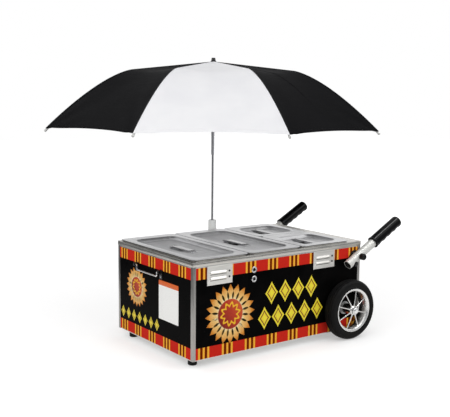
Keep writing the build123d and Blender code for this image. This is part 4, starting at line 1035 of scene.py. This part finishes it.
class CART_OT_print(bpy.types.Operator):
    """Printed film on the cabinet, its cut ornaments and a blank enamel plate"""

    bl_idname = "cart.print"
    bl_label = "Print"

    def execute(self, context):
        look = context.scene.cart_print
        nodes["cabinet"].material_slots[0].material = printed_film(look)
        petals = [(0.0, "#8c4310"), (0.35, "#d98a2b"), (0.7, "#f1c77a"), (1.0, "#f7e6bd")]
        golden = ink("golden petals", petals)
        brown = ink("red brown disc", [(0.0, "#7a1c0d"), (0.6, "#b5361b"), (1.0, "#cf5a2c")])
        mustard = ink("mustard wave", [(0.0, "#d98a10"), (1.0, "#f4bf2c")])
        lemon = ink("lemon lozenges", [(0.0, "#5c1c0a"), (0.45, "#d98a1c"), (1.0, "#f1e23a")])
        made = []
        made += self.rosette("front", on_front, FRONT_TURN, -0.262, 0.152, 0.094, golden, brown, mustard)
        made += self.rosette("left", on_left, LEFT_TURN, -0.140, 0.190, 0.066, golden, brown, mustard)
        spots = [(-0.128 + 0.056 * i, 0.118) for i in range(5)]
        spots += [(-0.100 + 0.056 * i, 0.196) for i in range(4)]
        made.append(self.lozenges("front", on_front, FRONT_TURN, spots, 0.037, lemon))
        spots = [(-0.050 - 0.036 * i, 0.091) for i in range(7)]
        made.append(self.lozenges("left", on_left, LEFT_TURN, spots, 0.0195, lemon))
        made.append(self.notice())
        for piece in made:
            place_piece(piece, "cart", "black_panel")
        return {"FINISHED"}

    def rosette(self, name, put, turn, u, z, radius, golden, brown, mustard):
        """Round ornament: rays, a disc and a waved ring"""
        outline, tones = [], []
        for i in range(13):
            t = i / 12
            outline.append((radius * (0.42 + 0.58 * t), -radius * 0.138 * math.sin(math.pi * t**0.75)))
            tones.append(1 - abs(t - 0.25) * 1.2)
        outline = outline + [(x, -y) for x, y in outline[-2:0:-1]]
        tones = tones + tones[-2:0:-1]
        spots = [(put(u, z), spun(turn, t), FULL_SIZE) for t in circle(20)]
        made = [repeat("rosette_rays_" + name, flat_shape(outline, FILM, tones), spots, golden)]
        over_rays = FILM + 0.0001
        disc = [(0.5 * radius * math.cos(t), 0.5 * radius * math.sin(t)) for t in circle(48)]
        plate = flat_shape(disc, over_rays, [0.5 + 0.5 * math.sin(t + 1) for t in circle(48)])
        made.append(repeat("rosette_disc_" + name, plate, [(put(u, z), turn, FULL_SIZE)], brown))
        wave = bmesh.new()
        layer = wave.verts.layers.float.new("tone")
        loops = []
        for inset, lift in ((0.045, 0.0), (0.03, 0.0005), (-0.03, 0.0005), (-0.045, 0.0)):
            loop = []
            for t in circle(120):
                r = radius * (0.32 + 0.055 * math.sin(10 * t) + inset)
                loop.append((r * math.cos(t), r * math.sin(t), lift))
            loops.append(loop)
        for ring, tone in zip(skin(wave, loops), (0.1, 0.9, 0.9, 0.1)):
            for vert in ring:
                vert[layer] = tone
        made.append(repeat("rosette_wave_" + name, wave, [(put(u, z, over_rays), turn, FULL_SIZE)], mustard))
        return made

    def lozenges(self, name, put, turn, spots, half, finish):
        """Staggered rows of pointed ornaments with a dark line inside"""
        outline = []
        power = 0.92
        for t in circle(40):
            c, s = math.cos(t), math.sin(t)
            pinch = 1 / (abs(c) ** power + abs(s) ** power) ** (1 / power)
            outline.append((0.7 * half * c * pinch, half * s * pinch))
        rings = ((1.0, 0.95), (0.72, 0.95), (0.715, 0.02), (0.56, 0.02), (0.555, 0.8), (0.2, 1.0))
        shape = flat_shape(outline, FILM, rings=rings)
        places = [(put(u, z), turn, FULL_SIZE) for u, z in spots]
        return repeat("lozenges_" + name, shape, places, finish)

    def notice(self):
        """Blank white plate with an orange head on the left end"""
        white = lacquered("Steel plate, vitreous enamelled white", "#f8f8f5", 0.3)
        orange = lacquered("Steel plate, vitreous enamelled orange", "#e0641c", 0.3)
        y0, y1, z0, z1, head = -0.392, -0.279, 0.117, 0.241, 0.226
        x = cab_low[0]
        bm = bmesh.new()
        loops = []
        for lift, inset in ((0.0, 0.0), (0.0006, 0.0), (0.0009, 0.0003), (0.001, 0.0007)):
            wide, tall = y1 - y0 - 2 * inset, z1 - z0 - 2 * inset
            flat = rounded_loop((y0 + y1) / 2, (z0 + z1) / 2, wide, tall, 0.0025 - inset, 0.0, 6)
            loops.append([(x - lift, y, z) for y, z, none in flat])
        skin(bm, loops, cap_last=True)
        cut_level(bm, head)
        face_outwards(bm)
        for face in bm.faces:
            face.material_index = 1 if face.calc_center_median()[2] > head else 0
        return piece_from("enamel_plate", bm, [white, orange], 30.0)


class CART_OT_lids(bpy.types.Operator):
    """Pressed lids with a sunk middle, a finger dish and a riveted strap"""

    bl_idname = "cart.lids"
    bl_label = "Lids"

    # Rows of (inset, depth under the top): the rolled edge, the wall of the sunk middle and the dish
    rolled = ((0.0, 0.003), (0.0, 0.0013), (0.0004, 0.0005), (0.0012, 0.0001), (0.0022, 0.0))
    slope = ((-0.003, 0.0), (-0.0012, 0.0003), (0.0002, 0.0011), (0.0056, 0.0096), (0.0072, 0.0107))
    slope += ((0.0092, LID_DEPTH),)
    bowl = ((-0.003, LID_DEPTH), (-0.001, 0.0113), (0.0008, 0.0122), (0.004, 0.0158), (0.009, 0.0196))
    bowl += ((0.015, 0.0215), (0.021, 0.022))

    def execute(self, context):
        look = context.scene.cart_lids
        steel = brushed_stainless("lids", (0, 1, 0), "#bdbdbe", "#e4e4e5", 0.31)
        self.dull_foot(steel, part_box("lid_left")[1][2])
        # Near black finish for the lid skirts: painted shadow
        edge = plain_metal("Stainless steel, painted shadow under the lid", "#1d1d1e", 0.5, 12.0)
        bright = brushed_stainless("straps", (0, 1, 0), "#a9a9aa", "#d0d0d1", 0.27)
        for name in ("lid_left", "lid_middle", "lid_right_front", "lid_right_back"):
            low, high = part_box(name)
            top = high[2]
            cx, cy = centre_of(name)[:2]
            wide, deep = high[0] - low[0], high[1] - low[1]
            full = deep > wide
            dish = (0.056, 0.112) if full else (0.080, 0.056)
            my = cy + (look.front - look.back) / 2
            sunk = (wide - 2 * look.side - 2 * look.sheet, deep - look.front - look.back - 2 * look.sheet)
            loops = []
            for y, size, corner, rows in (
                (cy, (wide, deep), 0.017, self.rolled),
                (my, sunk, look.corner, self.slope),
                (my, dish, None, self.bowl),
            ):
                for inset, drop in rows:
                    w, d = size[0] - 2 * inset, size[1] - 2 * inset
                    radius = min(w, d) / 2 - 0.0001 if corner is None else corner - inset
                    loops.append(rounded_loop(cx, y, w, d, radius, top - drop))
            bm = bmesh.new()
            skin(bm, loops, cap_last=True)
            # The skirt below the rolled edge is coloured near black: painted shadow of the gap under the lid
            for face in bm.faces[: len(loops[0])]:
                face.material_index = 1
            bm.normal_update()
            bmesh.ops.solidify(bm, geom=bm.faces[:], thickness=look.sheet)
            face_outwards(bm)
            self.strap(bm, Vector((cx, my, top - LID_DEPTH)), full, max(dish) / 2, look)
            lid = piece_from("pressed_" + name, bm, [steel, edge, bright], 32.0)
            place_piece(lid, name, "stainless", name)
        return {"FINISHED"}

    def dull_foot(self, mat, top):
        """Pressing dulls the steel towards the foot of the sunk middle, where the brush does not reach"""
        tree = mat.node_tree
        shader = tree.nodes["Principled BSDF"]
        brushed = shader.inputs["Roughness"].links[0].from_socket
        place = add(tree, "ShaderNodeTexCoord", out="Object")
        height = add(tree, "ShaderNodeSeparateXYZ", {0: place}, out="Z")
        # Depths between which the wall dulls and the dish below it brightens, and the added roughness
        wall, wall_foot, dish, dish_edge, rougher = 0.003, 0.009, 0.0125, 0.0112, 0.28
        foot = add(tree, SPREAD, {0: height, 1: top - wall, 2: top - wall_foot})
        above_dish = add(tree, SPREAD, {0: height, 1: top - dish, 2: top - dish_edge, 4: rougher})
        dull = add(tree, MATH, {0: foot, 1: above_dish, 2: brushed}, operation="MULTIPLY_ADD")
        wire(tree, shader, Roughness=dull)

    def strap(self, bm, middle, full, half, look):
        """Bent strip over the dish, riveted to the lid at both ends"""
        along = Vector((0, 1, 0)) if full else Vector((1, 0, 0))
        across = Vector((1, 0, 0)) if full else Vector((0, 1, 0))
        up = Vector((0, 0, 1))
        thick, edge, turn_in = 0.002, look.strap / 2, 0.0007
        section = ((-edge, 0.0003), (-edge + 0.0004, 0.0), (edge - 0.0004, 0.0), (edge, 0.0003))
        section += ((edge, thick - turn_in), (edge - turn_in, thick))
        section += ((-edge + turn_in, thick), (-edge, thick - turn_in))
        loops = []
        for i in range(61):
            s = (half + 0.009) * (i / 30 - 1)
            rise = 0.003 * smooth((half + 0.003 - abs(s)) / 0.015)
            loops.append([middle + along * s + across * a + up * (rise + h) for a, h in section])
        solid = bmesh.new()
        skin(solid, loops, cap_first=True, cap_last=True)
        dome = ((0.0, 0.0024), (0.0005, 0.0023), (0.0009, 0.0017), (0.0011, 0.0006))
        for end in (-1, 1):
            for side in (-1, 1):
                at = middle + along * (end * (half + 0.0058)) + across * (side * 0.006) + up * thick
                turned(solid, dome, at, up, 12)
        face_outwards(solid)
        for face in solid.faces:
            face.material_index = 2
        spare = bpy.data.meshes.new("strap")
        solid.to_mesh(spare)
        solid.free()
        bm.from_mesh(spare)
        bpy.data.meshes.remove(spare)


class CART_OT_vents(bpy.types.Operator):
    """Louvred vent plates pressed from one sheet, with a near black strip of painted shadow under each louvre
    """

    bl_idname = "cart.vents"
    bl_label = "Vents"

    def execute(self, context):
        steel = brushed_stainless("vents", (1, 0, 0), "#d4d2cc", "#eae8e3", 0.36)
        shadow = moulded("Louvre openings, painted shadow", "#050505", "#0a0a0a", 0.8, Specular_IOR_Level=0.05)
        low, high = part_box("vent_plates")
        wide, tall, thick = 0.094, high[2] - low[2], 0.0015
        height = centre_of("vent_plates")[2]
        middles = (low[0] + wide / 2, high[0] - wide / 2)
        places = [(on_front(x, height), FRONT_TURN, FULL_SIZE) for x in middles]
        bm = bmesh.new()
        columns, rows = 94, 116
        edge_wide, edge_drop = 0.0012, 0.0006
        grid = []
        for j in range(rows + 1):
            line = []
            for i in range(columns + 1):
                x, y = wide * (i / columns - 0.5), tall * (j / rows - 0.5)
                edge = min(wide / 2 - abs(x), tall / 2 - abs(y))
                lift = thick - edge_drop * (1 - smooth(edge / edge_wide)) + self.louvre(x, y)
                line.append(bm.verts.new((x, y, lift)))
            grid.append(line)
        for one, two in zip(grid, grid[1:]):
            for i in range(columns):
                bm.faces.new((one[i], one[i + 1], two[i + 1], two[i]))
        rim = [edge for edge in bm.edges if edge.is_boundary]
        walls = bmesh.ops.extrude_edge_only(bm, edges=rim)["geom"]
        for vert in walls:
            if isinstance(vert, bmesh.types.BMVert):
                vert.co.z = 0.0
        face_outwards(bm)
        plates = repeat("louvred_plates", bm, places, steel, sharp=50.0)
        place_piece(plates, "cart", "stainless", "vent_plates")
        # Near black strips just under the louvres: painted shadow in their openings
        outline = [(x, y) for x, y, none in rounded_loop(0, 0, 0.060, 0.0014, 0.0006, 0, 4)]
        shadow_strips = []
        for point, turn, size in places:
            for step in LOUVRES:
                shadow_strips.append((point + Vector((-LOUVRE_LEFT, -0.00152, step - 0.0062)), turn, size))
        place_piece(repeat("louvre_gaps", flat_shape(outline, 0.0002), shadow_strips, shadow), "cart", "stainless")
        return {"FINISHED"}

    def louvre(self, x, y):
        """Height of the pressed louvres above the plate: a slow rise from the top and a sharp lower lip"""
        half_long, half_tall, rise = 0.033, 0.006, 0.004
        for step in LOUVRES:
            u = (y - step) / half_tall
            ends = smooth((half_long - abs(x + LOUVRE_LEFT)) / 0.006)
            if abs(u) < 1 and ends > 0:
                return rise * ends * (smooth((1 - u) / 1.5) if u > -0.5 else smooth((1 + u) / 0.5))
        return 0.0


class CART_OT_wheels(bpy.types.Operator):
    """Spoked rims, and tyres with tread grooves and moulded sidewall rings"""

    bl_idname = "cart.wheels"
    bl_label = "Wheels"

    def execute(self, context):
        rubber = moulded("Rubber tyre, vulcanised", "#0a0a0b", "#141311", 0.62, 1.4, 0.12, IOR=1.2)
        cast = plain_metal("Aluminium, cast and polished", "#dbdad8", 0.24, 60.0)
        for side, face, s in SIDES:
            tyre = piece_from("treaded_tyre_" + side, self.tyre(side), [rubber], 40.0)
            place_piece(tyre, "wheel_" + side, "tyre", "tyre_" + side)
            rim = piece_from("spoked_rim_" + side, self.rim(face, s), [cast], 40.0)
            place_piece(rim, "wheel_" + side, "silver_rim", "rim_" + side)
        return {"FINISHED"}

    def rim(self, face, s):
        """Barrel with rolled lips, eight coned spokes and the hub; distances in millimetres from the wall"""
        origin, axis = Vector((wheel_x, face, wheel_z)), Vector((0, -s, 0))
        bm = bmesh.new()
        # Rows of (distance, radius)
        barrel = ((45.5, 68.5), (45.6, 73.1), (46.1, 73.5), (47.3, 73.5), (47.9, 72.9), (48.0, 71.9))
        barrel += ((47.6, 70.6), (46.6, 69.0), (45.6, 67.3), (44.4, 65.9), (42.6, 64.8), (38.0, 63.2))
        barrel += ((32.0, 61.2), (28.4, 60.3), (25.0, 60.0), (12.0, 60.0), (9.8, 61.4), (8.2, 66.0))
        barrel += ((6.7, 70.2), (6.4, 71.2), (6.4, 73.2), (6.8, 73.5), (8.8, 73.5), (8.9, 68.5))
        hub = ((4.0, 6.1), (4.0, 16.2), (4.8, 17.0), (45.5, 17.0), (47.0, 16.6), (49.8, 14.6))
        hub += ((51.0, 13.6), (51.0, 6.1))
        for profile, steps in ((barrel, 128), (hub, 48)):
            turned(bm, [(a * MM, r * MM) for a, r in profile], origin, axis, steps, close=True)
        # Rows of (radius, distance, half width, half thickness)
        spoke = ((14, 44, 3.4, 3.0), (20, 43, 2.6, 2.5), (34, 41, 2.0, 2.2), (56, 37.5, 2.0, 2.2))
        spoke += ((64, 36, 2.6, 2.4),)
        for i in range(8):
            turn = math.radians(28 + 45 * i)
            out = Vector((math.cos(turn), 0, math.sin(turn)))
            across = Vector((-math.sin(turn), 0, math.cos(turn)))
            loops = []
            for r, a, w, t in spoke:
                centre = origin + out * r * MM + axis * a * MM
                ring = []
                for angle in circle(12):
                    ring.append(centre + across * w * MM * math.cos(angle) + axis * t * MM * math.sin(angle))
                loops.append(ring)
            skin(bm, loops, cap_first=True, cap_last=True)
        face_outwards(bm)
        return bm

    def tyre(self, side):
        """Tyre with ringed walls and four grooves round a crowned tread"""
        low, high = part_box("tyre_" + side)
        outer = (high[2] - low[2]) / 2
        inner, bead = 0.0736, 0.0686
        shoulder, crowning, deep, groove_half = 0.0085, 0.0075, 0.0022, 0.055
        grooves = (-0.62, -0.21, 0.21, 0.62)
        ribbed = (3, 4, 7)
        half = (high[1] - low[1]) / 2
        seat = half - 0.0055
        wall = []
        for i in range(11):
            t = math.pi / 2 * i / 10
            bulge = half * (0.86 + 0.14 * math.sin(t * 1.6)) + (0.0006 if i in ribbed else 0.0)
            wall.append((min(bulge, half), inner + 0.001 + (outer - shoulder - inner) * i / 10))
        tread = []
        for i in range(65):
            t = 1 - i / 32
            cut = max(0.0, 1 - min(abs(t - g) for g in grooves) / groove_half)
            tread.append((half * 0.93 * t, outer - crowning * abs(t) ** 3.2 - deep * min(1.0, cut * 2.2)))
        points = [(-seat, inner), (-seat, bead), (seat, bead), (seat, inner)]
        points += wall + tread + [(-y, r) for y, r in wall[::-1]]
        bm = bmesh.new()
        turned(bm, points, (wheel_x, centre_of("tyre_" + side)[1], wheel_z), (0, 1, 0), 128, close=True)
        return bm


class CART_OT_grips(bpy.types.Operator):
    """Hand grips with finger hollows underneath and a rounded end"""

    bl_idname = "cart.grips"
    bl_label = "Grips"

    def execute(self, context):
        black = moulded(
            "PVC grip, dipped gloss black", "#020203", "#040405", 0.13, 4.0, 0.0, Specular_IOR_Level=0.13
        )
        along = Vector((math.cos(HANDLE_TILT), 0, math.sin(HANDLE_TILT)))
        upward = Vector((-math.sin(HANDLE_TILT), 0, math.cos(HANDLE_TILT)))
        across = Vector((0, 1, 0))
        length, radius, begin, bore = 0.142, 0.020, 0.078, 0.0152
        # Rounded end: its length and the power of its curve. Four finger hollows: where, how long, how deep
        nose, curve = 0.012, 2.6
        first, last, finger_long, finger_deep = 0.015, 0.129, 0.0285, 0.0026
        outs = [(t, across * math.cos(t) + upward * math.sin(t)) for t in circle(48)]
        for side in ("front", "back"):
            pivot = Vector((HANDLE_X, centre_of("grip_" + side)[1], HANDLE_Z))
            base = pivot + along * begin
            loops = [[base + out * bore for t, out in outs]]
            for i in range(97):
                s = length * i / 96
                # A collar at the open end with a softened edge
                big = radius + 0.0008 * (1 - smooth((s - 0.004) / 0.002)) - 0.0012 * (1 - smooth(s / 0.0015))
                end = min(1.0, max(0.0, (s - (length - nose)) / nose))
                big *= max(0.05, (1 - end**curve) ** (1 / curve))
                wave = 0.0
                if first < s < last:
                    wave = 0.5 - 0.5 * math.cos(2 * math.pi * (s - first) / finger_long)
                loop = []
                for t, out in outs:
                    below = max(0.0, -math.sin(t))
                    loop.append(base + along * s + out * (big - finger_deep * wave * below**1.4))
                loops.append(loop)
            bm = bmesh.new()
            skin(bm, loops, cap_last=True)
            face_outwards(bm)
            grip = piece_from("finger_grip_" + side, bm, [black], 50.0)
            place_piece(grip, "handle_" + side, "black_grip", "grip_" + side)
        return {"FINISHED"}


class CART_OT_umbrella_trim(bpy.types.Operator):
    """Tips on the rib ends and rivets where the stretchers meet the ribs"""

    bl_idname = "cart.umbrella_trim"
    bl_label = "Umbrella trim"

    def execute(self, context):
        nylon = moulded("Nylon tip, moulded light grey", "#cfcfcd", "#bdbdba", 0.4, 1.5, 0.05)
        zinc = plain_metal("Steel rivet, zinc plated", "#b9b9bb", 0.3)
        r0, z0 = rib_point(0.97)
        r1, z1 = rib_point(1.0)
        cap = ((-0.014, 0.0031), (-0.0135, 0.0036), (-0.003, 0.0039), (-0.001, 0.0046), (0.0015, 0.0046))
        cap += ((0.0036, 0.003), (0.0042, 0.001))
        rivet = ((0.0, 0.0026), (0.0005, 0.0026), (0.0011, 0.0018), (0.0013, 0.0005))
        # Radius and height of the rib's end and of the rivet
        tip_r, tip_z, rivet_r, rivet_z = 0.6026, 0.6927, 0.280, 0.8970
        for k in range(GORES):
            body = "rib_%d" % (k + 1)
            out, around = rib_axes(k)
            line = (out * (r1 - r0) + Vector((0, 0, z1 - z0))).normalized()
            bm = bmesh.new()
            turned(bm, cap, out * tip_r + Vector((0, 0, tip_z)), line, 20)
            place_piece(piece_from("rib_tip_%d" % (k + 1), bm, [nylon]), body, "grey_socket")
            at = out * rivet_r + Vector((0, 0, rivet_z)) + around * 0.002
            places = [(at, around.to_track_quat("Z", "Y").to_euler(), FULL_SIZE)]
            made = repeat("rib_rivet_%d" % (k + 1), turned_shape(rivet, 14), places, zinc)
            place_piece(made, body, "chrome")
        return {"FINISHED"}


class CART_OT_screws(bpy.types.Operator):
    """Cross-recess screw heads and ring studs in place of the plain ones, and the ticks round the dial"""

    bl_idname = "cart.screws"
    bl_label = "Screws"

    def execute(self, context):
        steel = plain_metal("Stainless screw, rolled", "#c4c4c4", 0.22, 8.0)
        black = lacquered("Steel screw, blackened", "#151516", 0.4)
        # Near black finish for the holes of the ring studs: painted shade
        dark = moulded("Stud hole, painted shade", "#060606", "#0b0b0b", 0.7, Specular_IOR_Level=0.1)
        # The vent plates' screws are black, and heads wider than a screw are the ring studs
        vent_low, vent_right, stud_wide = 0.26, 0.2, 0.015
        places = {"steel": [], "black": [], "ring": []}
        for lows, highs in self.heads():
            span = highs - lows
            thin = min(range(3), key=lambda i: span[i])
            centre = (lows + highs) / 2
            out = Vector((0, 0, 0))
            out[thin] = 1.0 if centre[thin] > (cab_low[thin] + cab_high[thin]) / 2 else -1.0
            wide = max(span)
            on_vent = thin == 1 and out[1] < 0 and centre[2] > vent_low and centre[0] < vent_right
            kind = "ring" if wide > stud_wide else "black" if on_vent else "steel"
            turn = spun(out.to_track_quat("Z", "Y").to_euler(), 0.6 * len(places[kind]))
            places[kind].append((centre - out * span[thin] / 2, turn, (wide / 2, wide / 2, span[thin])))
        made = [
            repeat("cross_screws", self.cross_head(), places["steel"], steel, sharp=40.0),
            repeat("black_screws", self.cross_head(), places["black"], black, sharp=40.0),
        ]
        profile = ((0.0, 0.97), (0.5, 1.0), (0.8, 0.95), (1.0, 0.82))
        profile += ((1.0, 0.66), (0.85, 0.54), (0.5, 0.49), (0.0, 0.48))
        ring = turned_shape(profile, 40, close=True)
        made.append(repeat("ring_studs", ring, places["ring"], steel, sharp=50.0))
        # A near black disc in the middle of each ring stud: painted shade in its hole
        hole_shade = turned_shape(((0.0, 0.5), (0.12, 0.5), (0.2, 0.3)), 24)
        made.append(repeat("stud_holes", hole_shade, places["ring"], dark))
        made.append(self.ticks())
        for piece in made:
            place_piece(piece, "cart", "chrome")
        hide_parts("screws")
        return {"FINISHED"}

    def heads(self):
        """Lowest and highest corner of every head in the built node"""
        bm = bmesh.new()
        bm.from_mesh(nodes["screws"].data)
        bmesh.ops.remove_doubles(bm, verts=bm.verts, dist=1e-6)
        left = set(bm.verts)
        heads = []
        while left:
            stack = [left.pop()]
            island = set(stack)
            while stack:
                for edge in stack.pop().link_edges:
                    for vert in edge.verts:
                        if vert in left:
                            left.discard(vert)
                            island.add(vert)
                            stack.append(vert)
            lows = Vector([min(v.co[i] for v in island) for i in range(3)])
            highs = Vector([max(v.co[i] for v in island) for i in range(3)])
            heads.append((lows, highs))
        bm.free()
        return sorted(heads, key=lambda h: tuple(round(x, 5) for x in h[0]))

    def cross_head(self):
        """Domed head of unit radius and height with a cross recess"""
        shape = bmesh.new()
        turns = circle(32)
        loops = []
        for r, h in ((1.0, 0.0), (1.0, 0.45), (0.93, 0.72), (0.75, 0.92), (0.5, 1.0)):
            loops.append([(r * math.cos(t), r * math.sin(t), h) for t in turns])
        for part, h in ((1.0, 1.0), (0.7, 0.5)):
            loop = []
            for t in turns:
                arm = abs((t + math.pi / 4) % (math.pi / 2) - math.pi / 4) < 0.3
                r = (0.46 if arm else 0.2) * part
                loop.append((r * math.cos(t), r * math.sin(t), h))
            loops.append(loop)
        skin(shape, loops, cap_last=True)
        face_outwards(shape)
        return shape

    def ticks(self):
        """Printed ticks round the thermostat dial"""
        dark = ink("dark ticks", [(0.0, "#1b1b1c"), (1.0, "#242425")])
        panel_thick, half_wide, near, far = 0.002, 0.0006, 0.0235, 0.0275
        centre = Vector([cab_high[0] + panel_thick] + centre_of("thermostat_knob")[1:])
        outline = ((-half_wide, near), (half_wide, near), (half_wide, far), (-half_wide, far))
        shape = flat_shape(outline, 0.0001)
        places = [(centre, spun(RIGHT_TURN, math.radians(27 * i - 270)), FULL_SIZE) for i in range(11)]
        return repeat("dial_ticks", shape, places, dark)


class CART_PT_panel(bpy.types.Panel):
    """Lists the steps that dress the cart"""

    bl_idname = "CART_PT_panel"
    bl_label = "Steamer cart"
    bl_space_type = "VIEW_3D"
    bl_region_type = "UI"
    bl_category = "Cart"

    def draw(self, context):
        for step in STEPS:
            self.layout.operator("cart." + step)


STEPS = ("stage", "finishes", "canopy", "print", "lids", "vents", "wheels", "grips")
STEPS += ("umbrella_trim", "screws")
CLASSES = (
    CanopyLook,
    PrintLook,
    LidLook,
    StageLook,
    CART_OT_stage,
    CART_OT_finishes,
    CART_OT_canopy,
    CART_OT_print,
    CART_OT_lids,
    CART_OT_vents,
    CART_OT_wheels,
    CART_OT_grips,
    CART_OT_umbrella_trim,
    CART_OT_screws,
    CART_PT_panel,
)
LOOKS = {"cart_canopy": CanopyLook, "cart_print": PrintLook, "cart_lids": LidLook, "cart_stage": StageLook}


def register():
    for item in CLASSES:
        bpy.utils.register_class(item)
    for name, look in LOOKS.items():
        setattr(bpy.types.Scene, name, bpy.props.PointerProperty(type=look))


def unregister():
    for name in LOOKS:
        delattr(bpy.types.Scene, name)
    for item in reversed(CLASSES):
        bpy.utils.unregister_class(item)


def main():
    register()
    for step in STEPS:
        getattr(bpy.ops.cart, step)()


if __name__ == "__main__":
    main()
